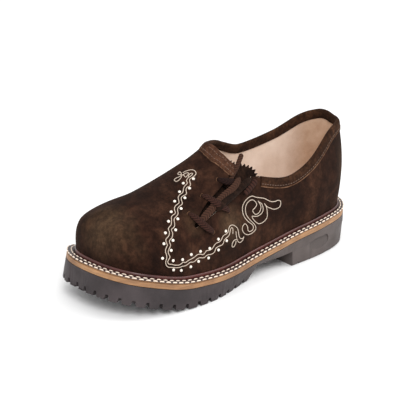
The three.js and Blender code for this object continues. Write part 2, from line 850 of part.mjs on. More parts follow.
// The place at a given distance from the edge, measured square to it, on the way
// that leads there over the face
function placeBelow({ side, section, rise, way }, tangent, distance) {
  const edge = facePoint(side, section, rise);
  const at = (t) => [section + way[0] * t, rise + way[1] * t];
  let [low, high] = [0, 1];
  for (let i = 0; i < 30; i += 1) {
    const middle = (low + high) / 2;
    const off = facePoint(side, ...at(middle)).sub(edge);
    off.addScaledVector(tangent, -off.dot(tangent));
    if (off.length() < distance) low = middle;
    else high = middle;
  }
  return at(low);
}

// Binding of the opening: a U section that wraps the edge of the wall
function collar() {
  const places = collarPlaces();
  const edge = places.map((p) => facePoint(p.side, p.section, p.rise));
  const normals = places.map((p) => outwardNormal(p.side, p.section, p.rise, p.from));
  const rings = places.map((place, i) => {
    const before = edge[Math.max(i - 1, 0)];
    const after = edge[Math.min(i + 1, edge.length - 1)];
    const toward = edge[i].clone().sub(before).normalize();
    const away = after.clone().sub(edge[i]).normalize();
    const normal = normals[i];
    const tangent = toward.clone().add(away).normalize();
    const down = new THREE.Vector3().crossVectors(normal, tangent).normalize();
    const point = (offset, depth) => {
      if (depth <= 0) {
        return edge[i].clone().addScaledVector(down, depth).addScaledVector(normal, offset);
      }
      const [section, rise] = placeBelow(place, tangent, depth);
      const out = outwardNormal(place.side, section, rise, place.from);
      return facePoint(place.side, section, rise).addScaledVector(out, offset);
    };
    const turn = 1 - THREE.MathUtils.smoothstep(throatSection - place.section, 0, throatTurn);
    const ease = place.side === "medial" ? throatEase * turn : 0;
    const near = clearance + ease;
    const far = near + collarThickness;
    const [inNear, inFar] = [-upperWall - near - collarSlack, -upperWall - far - collarSlack];
    const outline = [
      [far, collarWidth],
      [far, collarWidth / 2],
      [far, 0],
      [near * 0.5, -far],
      [-upperWall - near * 0.5, -far],
      [inFar, 0],
      [inFar, collarWidth / 2],
      [inFar, collarWidth],
    ];
    const groove = [
      [near, collarWidth],
      [near, collarWidth / 2],
      [near, 0],
      [near, -near],
      [inNear, -near],
      [inNear, 0],
      [inNear, collarWidth / 2],
      [inNear, collarWidth],
    ];
    return [...outline, ...groove.reverse()].map(([offset, depth]) => point(offset, depth));
  });
  return loftRings(rings, { capped: true });
}

// The tongue behind the slit, with a pinked top edge. Rows of places on the face of
// the vamp, from the top edge down: its front border and its back border.
const tongueRows = table(
  ["frontSection", "frontShare", "backSection", "backShare"],
  [
    [5.2, 0.76, 3.85, 0.49],
    [5.65, 0.72, 4.4, 0.42],
    [6.2, 0.69, 5.2, 0.37],
    [6.75, 0.61, 6.05, 0.33],
    [7.2, 0.5, 6.7, 0.31],
    [7.35, 0.42, 7.1, 0.32],
  ],
);
const TONGUE_TEETH = 11;

function tongue() {
  const depth = upperWall + collarThickness + collarSlack + 7 * clearance;
  const across = 2 * TONGUE_TEETH;
  const place = (row, share, lift) => {
    const section = THREE.MathUtils.lerp(row.frontSection, row.backSection, share);
    const rise = THREE.MathUtils.lerp(row.frontShare, row.backShare, share);
    const skin = (offset) => vampPoint(section, rise + lift, -offset - tongueTuck * share * share);
    return [skin(depth), skin(depth + tongueThickness)];
  };
  const ring = (row, toothed) => {
    const list = Array.from({ length: across + 1 }, (_, i) => {
      const share = i / across;
      const tooth = i % 2 ? tongueTooth : 0;
      const crown = 4 * tongueCrown * share * (1 - share);
      return place(row, share, toothed ? (tooth + crown) / instepHeight : 0);
    });
    return [...list.map(([front]) => front), ...list.reverse().map(([, behind]) => behind)];
  };
  return loftRings(tongueRows.map((row, i) => ring(row, i === 0)), { capped: true });
}

// Lace over the slit: three bars and the run that joins them, as one solid. Each bar
// goes from a hole in the vamp to a hole in the quarter.
const laceBars = table(
  ["vampSection", "vampShare", "quarterSection", "quarterShare", "quarterLift"],
  [
    [5.72, 0.64, 4.92, 0.45, 1.6],
    [6.42, 0.61, 5.72, 0.39, 0],
    [7.0, 0.515, 6.4, 0.31, 0],
  ],
);
const BAR_STEPS = 8;

function laceBar(row) {
  const seat = clearance * 2;
  const rings = Array.from({ length: BAR_STEPS + 1 }, (_, i) => {
    const share = i / BAR_STEPS;
    const at = (t, lift) =>
      vampPoint(
        THREE.MathUtils.lerp(row.vampSection, row.quarterSection, t),
        THREE.MathUtils.lerp(row.vampShare, row.quarterShare, t),
        lift,
      );
    const bulge = Math.sqrt(Math.max(1 - (2 * share - 1) ** 2, 0));
    const width = laceWidth * (0.45 + 0.55 * bulge);
    const thickness = laceThickness * (0.5 + 0.5 * bulge);
    const lift = seat + thickness / 2 + 0.4 * bulge + row.quarterLift * share * share;
    const middle = at(share, lift);
    const out = at(share, 10).sub(at(share, 0)).normalize();
    const run = at(share + 0.02, 0).sub(at(share - 0.02, 0)).normalize();
    const side = new THREE.Vector3().crossVectors(run, out).normalize();
    return Array.from({ length: 8 }, (__, k) => {
      const angle = ((k + 0.5) * Math.PI) / 4;
      return middle
        .clone()
        .addScaledVector(side, (Math.cos(angle) * width) / 2)
        .addScaledVector(out, (Math.sin(angle) * thickness) / 2);
    });
  });
  return solidOf(loftRings(rings, { capped: true }));
}

function laceRun() {
  const width = laceWidth * 0.7;
  const middles = laceBars.map((row) => ({
    section: (row.vampSection + row.quarterSection) / 2,
    share: (row.vampShare + row.quarterShare) / 2,
  }));
  const curve = tableCurve(middles.map((m, i) => ({ i, ...m })), "i");
  const steps = 8;
  const rings = Array.from({ length: steps + 1 }, (_, k) => {
    const t = (k / steps) * (middles.length - 1);
    const at = (x, lift) => vampPoint(curve(x).section, curve(x).share, lift);
    const run = at(t + 0.05, 0).sub(at(t - 0.05, 0)).normalize();
    const out = at(t, 10).sub(at(t, 0)).normalize();
    const side = new THREE.Vector3().crossVectors(run, out).normalize();
    const corner = (a, lift) => at(t, clearance * 2 + lift).addScaledVector(side, a * width);
    const top = laceThickness * 0.6;
    return [corner(-0.5, 0), corner(-0.5, top), corner(0.5, top), corner(0.5, 0)];
  });
  return solidOf(loftRings(rings, { capped: true }));
}

function laceCrossings() {
  return geometryOf(laceBars.map(laceBar).reduce((all, bar) => all.add(bar), laceRun()));
}

// The free end of the lace, which comes out from under the top bar and stands up in the
// opening. Its points are chosen by hand.
const laceEndPath = [
  [-14.6, -27.6, 91.0],
  [-11.2, -26.0, 93.6],
  [-7.6, -24.5, 96.1],
  [-3.4, -23.2, 99.6],
  [0.0, -23.2, 104.2],
  [3.0, -23.1, 109.1],
  [5.6, -22.7, 113.4],
  [7.4, -22.4, 116.6],
].map((p) => new THREE.Vector3(...p));

function laceEnd() {
  const curve = new THREE.CatmullRomCurve3(laceEndPath, false, "centripetal");
  const shape = new THREE.Shape();
  shape.absellipse(0, 0, laceEndWidth / 2, laceEndWidth / 2, 0, 2 * Math.PI);
  const options = { steps: 14, extrudePath: curve, bevelEnabled: false, curveSegments: 2 };
  return new THREE.ExtrudeGeometry(shape, options);
}

const parts = [
  ["outsole", outsole, 0x4a4443, 0.75],
  ["midsole", midsole, 0xb08a62, 0.8],
  ["welt", welt, 0x5a2f22, 0.6],
  ["insole", insole, 0xcbb39b, 0.9],
  ["upper", upper, 0x3a251c, 0.95],
  ["collar", collar, 0x3d291d, 0.95],
  ["tongue", tongue, 0x32211a, 0.95],
  ["lace_crossings", laceCrossings, 0x38251d, 0.85],
  ["lace_end", laceEnd, 0x38251d, 0.85],
];

const shoe = new THREE.Group();
for (const [name, make, color, roughness] of parts) {
  const mesh = new THREE.Mesh(make(), new THREE.MeshStandardMaterial({ color, roughness, metalness: 0 }));
  mesh.name = name;
  shoe.add(mesh);
}

// The origin is on the floor, under the middle of the shoe's box.
const box = new THREE.Box3().setFromObject(shoe);
shoe.position.set(-(box.min.x + box.max.x) / 2, -(box.min.y + box.max.y) / 2, -box.min.z);
const group = new THREE.Group();
group.add(shoe);

export default group;
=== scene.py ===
"""Looks of a left haferl shoe in suede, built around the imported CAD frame.

Lengths are in millimetres until a mesh is made, and meshes are in metres. The shape of
the last is worked out again here from the part's own sizes and tables, so that each
surface can be much finer than the solid that it stands for.
"""
import math
from functools import lru_cache

import bmesh
import bpy
import numpy as np
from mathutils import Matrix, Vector
from mathutils.bvhtree import BVHTree


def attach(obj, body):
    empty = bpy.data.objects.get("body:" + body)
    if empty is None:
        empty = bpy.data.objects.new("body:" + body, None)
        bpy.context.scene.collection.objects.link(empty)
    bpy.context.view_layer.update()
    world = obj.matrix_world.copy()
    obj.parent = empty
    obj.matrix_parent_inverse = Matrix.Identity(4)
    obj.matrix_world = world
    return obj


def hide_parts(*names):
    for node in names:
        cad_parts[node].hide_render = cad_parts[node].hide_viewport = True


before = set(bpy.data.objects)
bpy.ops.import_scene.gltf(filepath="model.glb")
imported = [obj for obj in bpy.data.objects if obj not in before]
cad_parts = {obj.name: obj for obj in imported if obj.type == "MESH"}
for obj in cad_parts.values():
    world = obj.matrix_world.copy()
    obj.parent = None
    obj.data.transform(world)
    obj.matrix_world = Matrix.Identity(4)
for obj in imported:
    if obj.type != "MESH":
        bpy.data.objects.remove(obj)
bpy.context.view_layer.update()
MM = 0.001
ROOT = "root"
ORIGIN = np.array([1.538, 0.227, 0.0])  # middle of the sole's length, in the row frame

# sizes of the part

SOLE_LENGTH = 298.0
BALL_WIDTH = 113.0
TREAD = 18.3
HEEL = 28.6
ARCH = 8.2
TOE_SPRING = 18.0
MIDSOLE = 4.5
WELT = 2.2
SHELF_FRONT = 6.0
SHELF_HEEL = 4.5
BEAD_WIDTH = 2.6
BEAD_HEIGHT = 2.8
GAP = 0.3
INSTEP = 100.0
WALL = 2.0
FEATHER = MIDSOLE + GAP
THROAT = 5.25  # section of the throat
CORNER = 0.62  # share of the throat's column at which the vamp's corner lies
LAST = 11


def table(names, *data):
    """Rows with named columns, as one array a column."""
    return {name: np.array([row[i] for row in data], float) for i, name in enumerate(names.split())}


OUTLINE = table(
    "section station lateral medial",
    (0, 0.0, 0.0, 0.0),
    (1, 0.027, -0.31, 0.35),
    (2, 0.087, -0.557, 0.584),
    (3, 0.195, -0.708, 0.673),
    (4, 0.336, -0.77, 0.646),
    (5, 0.487, -0.867, 0.708),
    (6, 0.621, -1.018, 0.876),
    (7, 0.732, -1.018, 0.991),
    (8, 0.839, -0.955, 1.0),
    (9, 0.93, -0.74, 1.0),
    (10, 0.984, -0.31, 0.67),
    (11, 1.0, 0.24, 0.24),
)
PROFILE = table(
    "station heel toe",
    (0.0, 1.0, 0.0),
    (0.133, 1.0, 0.0),
    (0.267, 0.77, 0.0),
    (0.4, 0.36, 0.0),
    (0.533, 0.05, 0.0),
    (0.62, 0.0, 0.0),
    (0.7, 0.0, 0.02),
    (0.783, 0.0, 0.136),
    (0.9, 0.0, 0.61),
    (1.0, 0.0, 1.0),
)
TOPLINE = {
    "lateral": table(
        "section station y rise lean low high",
        (0, 0.0235, 0.018, 0.86, 10, 0.42, 0.3),
        (0.5, 0.029, -0.12, 0.852, 10, 0.42, 0.3),
        (1, 0.046, -0.235, 0.842, 10, 0.42, 0.3),
        (2, 0.107, -0.372, 0.793, 10, 0.42, 0.3),
        (3, 0.195, -0.504, 0.639, 11, 0.42, 0.3),
        (3.5, 0.262, -0.549, 0.566, 12, 0.41, 0.3),
        (4, 0.332, -0.549, 0.56, 14, 0.4, 0.3),
        (4.5, 0.433, -0.513, 0.672, 22, 0.37, 0.31),
        (5, 0.503, -0.46, 0.76, 30, 0.34, 0.32),
        (5.25, 0.52, -0.41, 0.785, 33, 0.34, 0.32),
    ),
    "medial": table(
        "section station y rise lean low high",
        (0, 0.0235, 0.018, 0.86, 10, 0.42, 0.3),
        (0.5, 0.0275, 0.152, 0.885, 10, 0.42, 0.3),
        (1, 0.042, 0.275, 0.889, 9, 0.42, 0.3),
        (2, 0.091, 0.46, 0.842, 8, 0.42, 0.3),
        (3, 0.195, 0.549, 0.738, 9, 0.42, 0.3),
        (4, 0.339, 0.52, 0.737, 18, 0.4, 0.32),
        (4.5, 0.419, 0.42, 0.848, 40, 0.41, 0.4),
        (4.75, 0.46, 0.325, 0.918, 55, 0.42, 0.45),
        (5, 0.5, 0.2, 0.967, 70, 0.42, 0.48),
        (5.25, 0.54, 0.053, 0.993, 88, 0.42, 0.5),
    ),
}
RIDGE = table(
    "section station y rise low high",
    (5.25, 0.54, 0.053, 0.993, 0.42, 0.5),
    (6, 0.597, 0.075, 0.885, 0.48, 0.54),
    (7, 0.681, 0.106, 0.762, 0.56, 0.58),
    (8, 0.775, 0.142, 0.652, 0.62, 0.6),
    (9, 0.85, 0.177, 0.558, 0.68, 0.64),
    (10, 0.893, 0.204, 0.515, 0.72, 0.66),
    (11, 0.905, 0.23, 0.496, 0.74, 0.68),
)
FLARE = table("section flare", (0, 14), (2, 12), (4, 9), (7, 9), (11, 8))
SLIT = table(
    "i vamp_section vamp_share quarter_section quarter_share",
    (0, 5.08, 0.76, 3.8, 0.66),
    (1, 5.3, 0.6, 4.16, 0.53),
    (2, 5.68, 0.575, 4.88, 0.5),
    (3, 6.32, 0.545, 5.8, 0.455),
    (4, 6.78, 0.47, 6.54, 0.415),
    (5, 6.97, 0.415, 6.9, 0.395),
)
TONGUE = table(
    "i front_section front_share back_section back_share",
    (0, 5.2, 0.76, 3.85, 0.49),
    (1, 5.65, 0.72, 4.4, 0.42),
    (2, 6.2, 0.69, 5.2, 0.37),
    (3, 6.75, 0.61, 6.05, 0.33),
    (4, 7.2, 0.5, 6.7, 0.31),
    (5, 7.35, 0.42, 7.1, 0.32),
)
LACE_END = [
    (-14.6, -27.6, 91.0),
    (-11.2, -26.0, 93.6),
    (-7.6, -24.5, 96.1),
    (-3.4, -23.2, 99.6),
    (0.0, -23.2, 104.2),
    (3.0, -23.1, 109.1),
    (5.6, -22.7, 113.4),
    (7.4, -22.4, 116.6),
]
LACE_END_WIDTH = 5.0

# shape of the last


def curve(rows, key, at):
    """All columns of a table at one place, on a smooth curve through its rows."""
    keys = rows[key]
    x = min(max(at, keys[0]), keys[-1])
    i = int(np.clip(np.searchsorted(keys, x, side="right") - 1, 0, len(keys) - 2))
    span = keys[i + 1] - keys[i]
    t = (x - keys[i]) / span
    result = {}
    for name, col in rows.items():
        def slope(k):
            a, b = max(k - 1, 0), min(k + 1, len(keys) - 1)
            return (col[b] - col[a]) / (keys[b] - keys[a]) * span
        p, q, m, n = col[i], col[i + 1], slope(i), slope(i + 1)
        c, d = 3 * (q - p) - 2 * m - n, 2 * (p - q) + m + n
        result[name] = p + t * (m + t * (c + t * d))
    return result


STATIONS = np.linspace(0, SOLE_LENGTH, 1200)
TOPS = np.array([
    TREAD + r["heel"] * (HEEL - TREAD) + r["toe"] * TOE_SPRING
    for r in (curve(PROFILE, "station", s / SOLE_LENGTH) for s in STATIONS)
])


def rubber_top(s):
    """Height of the rubber's top over the floor, at a station."""
    return np.interp(s, STATIONS, TOPS)


def rubber_slope(s):
    """Slope of that top towards the toe."""
    return (rubber_top(np.add(s, 1)) - rubber_top(np.subtract(s, 1))) / 2


def bent(s, y, height):
    """Points of the sole. Height is counted square to the rubber's top."""
    slope = rubber_slope(s)
    length = np.hypot(1, slope)
    x = SOLE_LENGTH / 2 - (s - slope / length * height)
    return np.stack(np.broadcast_arrays(x, y, rubber_top(s) + height / length), -1)


def outline_points(turn):
    """Points (station, y) of the welt's outline at turns from 0 to 1."""
    lateral = np.stack([OUTLINE["station"] * SOLE_LENGTH, OUTLINE["lateral"] * BALL_WIDTH / 2], 1)
    medial = np.stack([OUTLINE["station"] * SOLE_LENGTH, OUTLINE["medial"] * BALL_WIDTH / 2], 1)
    ring = np.concatenate([lateral, medial[1:-1][::-1]])
    n = len(ring)
    t = np.mod(np.asarray(turn, float), 1) * n
    i = np.floor(t).astype(int)
    w = (t - i)[..., None]
    p0, p1, p2, p3 = (ring[(i + k) % n] for k in (-1, 0, 1, 2))
    m, q = (p2 - p0) / 2, (p3 - p1) / 2
    return p1 + w * (m + w * (3 * (p2 - p1) - 2 * m - q + w * (2 * (p1 - p2) + m + q)))


def outline(turn, inset):
    """Points of the outline moved inwards, and the inward direction there."""
    turn = np.asarray(turn, float)
    along = outline_points(turn + 0.002) - outline_points(turn - 0.002)
    along /= np.linalg.norm(along, axis=-1, keepdims=True)
    inward = np.stack([-along[..., 1], along[..., 0]], -1)
    return outline_points(turn) + inward * np.asarray(inset)[..., None], inward


def turn_of(side, section):
    """The turn of the outline, from 0 to 1, at a section of the last."""
    share = section / (2 * LAST)
    return share if side == "lateral" else 1 - share


def smoothstep(x, a, b):
    t = np.clip((x - a) / (b - a), 0, 1)
    return t * t * (3 - 2 * t)


def shelf_width(section):
    """The welt's shelf is narrower around the heel."""
    return SHELF_HEEL + (SHELF_FRONT - SHELF_HEEL) * smoothstep(section, 3, 6)


def allowance(section):
    """From the welt's outline in to the upper's foot."""
    return shelf_width(section) + BEAD_WIDTH + GAP


def unit(v):
    v = np.asarray(v, float)
    return v / np.maximum(np.linalg.norm(v, axis=-1, keepdims=True), 1e-9)


def run_along(points):
    """The length of a line up to each of its points."""
    steps = np.linalg.norm(np.diff(points, axis=0), axis=1)
    return np.concatenate([[0], np.cumsum(steps)])


def interpolated(at, run, values):
    """Rows of values at some lengths along a line."""
    return np.stack([np.interp(at, run, values[:, k]) for k in range(values.shape[1])], 1)


@lru_cache(maxsize=None)
def handles(side, section, closed):
    """Control points of one column of the wall: foot, low, high, top and its end slope."""
    place, inward = outline(turn_of(side, section), allowance(section))
    foot = bent(place[0], place[1], FEATHER)
    row = curve(RIDGE, "section", section) if closed else curve(TOPLINE[side], "section", section)
    lean = math.radians(90 if closed else row["lean"])
    station = row["station"] * SOLE_LENGTH

    def level(s):
        return bent(s, 0.0, FEATHER)[2]

    top = np.array([
        SOLE_LENGTH / 2 - station,
        row["y"] * BALL_WIDTH / 2,
        level(station) + row["rise"] * INSTEP,
    ])
    step = 0.1
    near = curve(RIDGE, "section", max(section, THROAT) - step)
    far = curve(RIDGE, "section", max(section, THROAT + step) + step)
    run = (far["station"] - near["station"]) * SOLE_LENGTH
    rise = (far["rise"] - near["rise"]) * INSTEP
    rise += level(far["station"] * SOLE_LENGTH) - level(near["station"] * SOLE_LENGTH)
    ridge_slope = -rise / (run or 1)
    into = np.array([-inward[0], inward[1], 0.0])
    flare = math.radians(curve(FLARE, "section", section)["flare"])
    start = np.array([0, 0, math.cos(flare)]) - into * math.sin(flare)
    end = into * math.sin(lean)
    end[2] = math.cos(lean) + ridge_slope * into[0] * math.sin(lean)
    end = unit(end)
    tall = top[2] - foot[2]
    wide = math.hypot(top[0] - foot[0], top[1] - foot[1])
    reach = wide * math.sin(lean) + tall * math.cos(lean)
    return (foot, foot + start * row["low"] * tall, top - end * row["high"] * reach, top,
            end * 3 * row["high"] * reach)


def column(side, section, rise, closed=None):
    """Points of the upper's outer face on one column, at shares of its height."""
    if closed is None:
        closed = section >= THROAT
    foot, low, high, top, end = handles(side, round(float(section), 5), bool(closed))
    rise = np.asarray(rise, float)[..., None]
    t = np.minimum(rise, 1)
    u = 1 - t
    return u**3 * foot + 3 * u * u * t * low + 3 * u * t * t * high + t**3 * top + end * (rise - t)


GRID_SECTIONS = np.linspace(3.4, 7.8, 89)
GRID_SHARES = np.linspace(0.15, 1.15, 101)


def grid_cell(value, grid):
    """The cell of an even grid in which a value lies, and its share of that cell."""
    place = np.clip((value - grid[0]) / (grid[1] - grid[0]), 0, len(grid) - 1.001)
    return int(place), place - int(place)


@lru_cache(maxsize=None)
def vamp_grid():
    """The vamp's face, carried on behind its back edge: a grid of points and normals."""
    points = np.array([column("lateral", section, GRID_SHARES, True) for section in GRID_SECTIONS])
    normals = unit(np.cross(np.gradient(points, axis=1), np.gradient(points, axis=0)))
    return points, normals


def vamp(section, share, lift=0.0):
    """A point over the vamp's face at a section of the last and a share of the height."""
    points, normals = vamp_grid()
    i, u = grid_cell(section, GRID_SECTIONS)
    j, v = grid_cell(share, GRID_SHARES)

    def between(grid):
        low = grid[i, j] * (1 - v) + grid[i, j + 1] * v
        high = grid[i + 1, j] * (1 - v) + grid[i + 1, j + 1] * v
        return low * (1 - u) + high * u

    return between(points) + unit(between(normals)) * lift


# meshes


def make(name, points, faces, slot, replaces=()):
    """A piece of the shoe from points in millimetres."""
    obj = bare_object(name, points, faces, checked=True)
    smooth(obj)
    finish_piece(obj, replaces)
    return obj


def bare_object(name, points, faces, checked=False):
    """An object that is no piece yet. Where it is checked, broken faces are dropped."""
    mesh = bpy.data.meshes.new(name)
    places = (np.asarray(points, float) + ORIGIN) * MM
    mesh.from_pydata(places.tolist(), [], [tuple(map(int, f)) for f in faces])
    if checked:
        mesh.validate()
    obj = bpy.data.objects.new(name, mesh)
    bpy.context.scene.collection.objects.link(obj)
    face_out(mesh)
    return obj


def smooth(obj):
    obj.data.polygons.foreach_set("use_smooth", [True] * len(obj.data.polygons))


def finish_piece(obj, replaces=()):
    """Ties a piece to the shoe, and hides the solids that it stands for."""
    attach(obj, ROOT)
    if replaces:
        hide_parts(*replaces)


def face_out(mesh):
    """Turns all faces outwards."""
    bm = bmesh.new()
    bm.from_mesh(mesh)
    bmesh.ops.recalc_face_normals(bm, faces=bm.faces)
    bm.to_mesh(mesh)
    bm.free()


def grid_faces(rows, cols, loop=False, base=0):
    """Quads over rows of points; each row closes on itself when looped."""
    last = cols if loop else cols - 1
    return [
        (base + r * cols + c, base + r * cols + (c + 1) % cols,
         base + (r + 1) * cols + (c + 1) % cols, base + (r + 1) * cols + c)
        for r in range(rows - 1) for c in range(last)
    ]


def tube(rings, capped=True, base=0):
    """Points and faces of a closed tube through rings of points."""
    rings = np.asarray(rings, float)
    n, k = rings.shape[:2]
    points = list(rings.reshape(-1, 3))
    faces = grid_faces(n, k, loop=True, base=base)
    if capped:
        faces.append(tuple(base + i for i in range(k))[::-1])
        faces.append(tuple(base + (n - 1) * k + i for i in range(k)))
    return points, faces


def joined_tubes(all_rings):
    """Points and faces of several tubes in one mesh."""
    points, faces = [], []
    for rings in all_rings:
        p, f = tube(rings, base=len(points))
        points += p
        faces += f
    return points, faces


def boolean(obj, cutter, operation):
    """Join or cut with another object, which is removed."""
    mod = obj.modifiers.new("cut", "BOOLEAN")
    mod.operation = operation
    mod.solver = "EXACT"
    mod.object = cutter
    dg = bpy.context.evaluated_depsgraph_get()
    result = bpy.data.meshes.new_from_object(obj.evaluated_get(dg))
    obj.modifiers.remove(mod)
    obj.data = result
    bpy.data.objects.remove(cutter)


# materials


def srgb(r, g, b):
    """A colour as the photo's 0 to 255 values, made linear."""
    def linear(v):
        v /= 255
        return v / 12.92 if v <= 0.04045 else ((v + 0.055) / 1.055) ** 2.4
    return (linear(r), linear(g), linear(b), 1.0)


class Shader:
    """A node material in short calls. Textures run over the piece in metres."""

    def __init__(self, name, roughness, **sockets):
        self.mat = bpy.data.materials.new(name)
        self.mat.use_nodes = True
        self.tree = self.mat.node_tree
        self.bsdf = self.tree.nodes["Principled BSDF"]
        self.bsdf.inputs["Roughness"].default_value = roughness
        for key, value in sockets.items():
            self.bsdf.inputs[key.replace("_", " ")].default_value = value
        self.coords = self.tree.nodes.new("ShaderNodeTexCoord").outputs["Object"]

    def node(self, kind, **props):
        node = self.tree.nodes.new("ShaderNode" + kind)
        for key, value in props.items():
            setattr(node, key, value)
        return node

    def link(self, out, socket):
        self.tree.links.new(out, socket)

    def scaled(self, scale, rotation=(0, 0, 0)):
        node = self.node("Mapping")
        node.inputs["Scale"].default_value = scale
        node.inputs["Rotation"].default_value = rotation
        self.link(self.coords, node.inputs["Vector"])
        return node.outputs["Vector"]

    def noise(self, scale, detail=4, rough=0.6, vector=None, distortion=0.0):
        node = self.node("TexNoise")
        node.inputs["Scale"].default_value = scale
        node.inputs["Detail"].default_value = detail
        node.inputs["Roughness"].default_value = rough
        node.inputs["Distortion"].default_value = distortion
        self.link(vector or self.coords, node.inputs["Vector"])
        return node.outputs["Fac"]

    def voronoi(self, scale, feature="F1", vector=None):
        node = self.node("TexVoronoi", feature=feature)
        node.inputs["Scale"].default_value = scale
        self.link(vector or self.coords, node.inputs["Vector"])
        return node.outputs["Distance"]

    def ramp(self, fac, *stops):
        node = self.node("ValToRGB")
        ramp = node.color_ramp
        while len(ramp.elements) < len(stops):
            ramp.elements.new(0.5)
        for element, (position, colour) in zip(ramp.elements, stops):
            element.position = position
            element.color = colour
        self.link(fac, node.inputs["Fac"])
        return node.outputs["Color"]

    def mix(self, fac, a, b, mode="MIX"):
        node = self.node("Mix", data_type="RGBA", blend_type=mode)
        for socket, value in ((node.inputs[0], fac), (node.inputs[6], a), (node.inputs[7], b)):
            if isinstance(value, bpy.types.NodeSocket):
                self.link(value, socket)
            else:
                socket.default_value = value
        return node.outputs[2]

    def math(self, operation, a, b=0.0):
        node = self.node("Math", operation=operation)
        for socket, value in zip(node.inputs, (a, b)):
            if isinstance(value, bpy.types.NodeSocket):
                self.link(value, socket)
            else:
                socket.default_value = value
        return node.outputs[0]

    def axis(self, name):
        node = self.node("SeparateXYZ")
        self.link(self.coords, node.inputs[0])
        return node.outputs[name]

    def near(self, place, radius, uneven):
        """A soft patch around a place, frayed by a noise."""
        node = self.node("VectorMath", operation="DISTANCE")
        self.link(self.coords, node.inputs[0])
        node.inputs[1].default_value = [v * MM for v in place]
        frayed = self.math("ADD", node.outputs["Value"], self.math("MULTIPLY", uneven, radius * MM))
        white, black = (1, 1, 1, 1), (0, 0, 0, 1)
        share = self.math("DIVIDE", frayed, radius * 2 * MM)
        return self.math("MULTIPLY", self.ramp(share, (0.35, white), (0.85, black)), 0.6)

    def along(self, first, last):
        """From 0 to 1 between two places along the shoe, in millimetres."""
        away = self.math("SUBTRACT", self.axis("X"), first * MM)
        share = self.math("DIVIDE", away, (last - first) * MM)
        node = self.node("Clamp")
        self.link(share, node.inputs[0])
        return node.outputs[0]

    def grained(self, share, tone, texture, *stops):
        """A tone with a texture laid over it."""
        return self.mix(share, tone, self.ramp(texture, *stops), "OVERLAY")

    def attribute(self, name):
        node = self.node("Attribute", attribute_name=name)
        return node.outputs["Fac"]

    def colour(self, out):
        self.link(out, self.bsdf.inputs["Base Color"])

    def rough(self, out):
        self.link(out, self.bsdf.inputs["Roughness"])

    def bump(self, *layers):
        """Layers are (height, strength, distance in mm)."""
        normal = None
        for height, strength, distance in layers:
            node = self.node("Bump")
            node.inputs["Strength"].default_value = strength
            node.inputs["Distance"].default_value = distance * MM
            self.link(height, node.inputs["Height"])
            if normal:
                self.link(normal, node.inputs["Normal"])
            normal = node.outputs["Normal"]
        self.link(normal, self.bsdf.inputs["Normal"])


RUBBED_TONE = srgb(87, 68, 51)
HEEL_LINING = (108, 130)  # along the shoe, where the lining turns darker


def suede(name, dark, mid, light, marked_tone=None, rubbed=(), mottle=22.0):
    """Napped leather: cloudy patches where the nap was brushed, and a fine fibrous grain.

    Rubbed places are (x, y, z, radius) in millimetres of the row frame. Points that are marked with a crest
    take a second, given tone.
    """
    s = Shader(name, 0.95, Sheen_Weight=0.04, Sheen_Roughness=0.6, Specular_IOR_Level=0.08)
    s.bsdf.inputs["Sheen Tint"].default_value = srgb(190, 160, 140)
    cloudy = s.noise(mottle, 5, 0.66, distortion=0.8)
    tone = s.ramp(cloudy, (0.34, dark), (0.5, mid), (0.68, light))
    if marked_tone:
        tone = s.mix(s.attribute("crest"), tone, marked_tone)
    for x, y, z, radius in rubbed:
        tone = s.mix(s.near((x, y, z), radius, cloudy), tone, RUBBED_TONE)
    slanted = s.scaled((1.2, 1.0, 0.5), (0.3, 0.4, 0))
    strokes = s.noise(mottle * 3, 4, 0.75, vector=slanted, distortion=1.0)
    patches = s.noise(mottle * 8, 3, 0.75)
    fibres = s.noise(2600, 3, 0.8)
    tone = s.grained(0.55, tone, strokes, (0.4, srgb(136, 134, 134)), (0.6, srgb(212, 208, 200)))
    tone = s.grained(0.6, tone, patches, (0.38, srgb(132, 132, 132)), (0.62, srgb(212, 212, 212)))
    s.colour(s.grained(0.55, tone, fibres, (0.3, srgb(140, 140, 140)), (0.75, srgb(222, 218, 214))))
    s.bump((s.noise(mottle * 9, 4, 0.6), 0.3, 0.5), (s.noise(1900, 4, 0.75), 0.6, 0.22))
    return s.mat


def smooth_leather(name, dark, light, roughness=0.5, grain=900.0):
    s = Shader(name, roughness, Coat_Weight=0.12, Coat_Roughness=0.35)
    tone = s.ramp(s.noise(60, 4, 0.6), (0.3, dark), (0.7, light))
    pores = s.voronoi(grain)
    s.colour(s.grained(0.25, tone, pores, (0.0, srgb(120, 120, 120)), (0.6, srgb(215, 215, 215))))
    s.bump((pores, 0.25, 0.12), (s.noise(300, 3), 0.2, 0.25))
    return s.mat


def cut_edge(name, dark, light):
    """The edge of a leather layer: long fibres along it, pressed and burnished."""
    s = Shader(name, 0.6, Coat_Weight=0.08)
    fibres = s.noise(500, 4, 0.7, vector=s.scaled((0.12, 0.12, 1.6)))
    tone = s.ramp(s.noise(35, 3, 0.6), (0.3, dark), (0.7, light))
    s.colour(s.grained(0.5, tone, fibres, (0.3, srgb(140, 135, 130)), (0.7, srgb(225, 220, 210))))
    s.bump((fibres, 0.35, 0.2))
    return s.mat


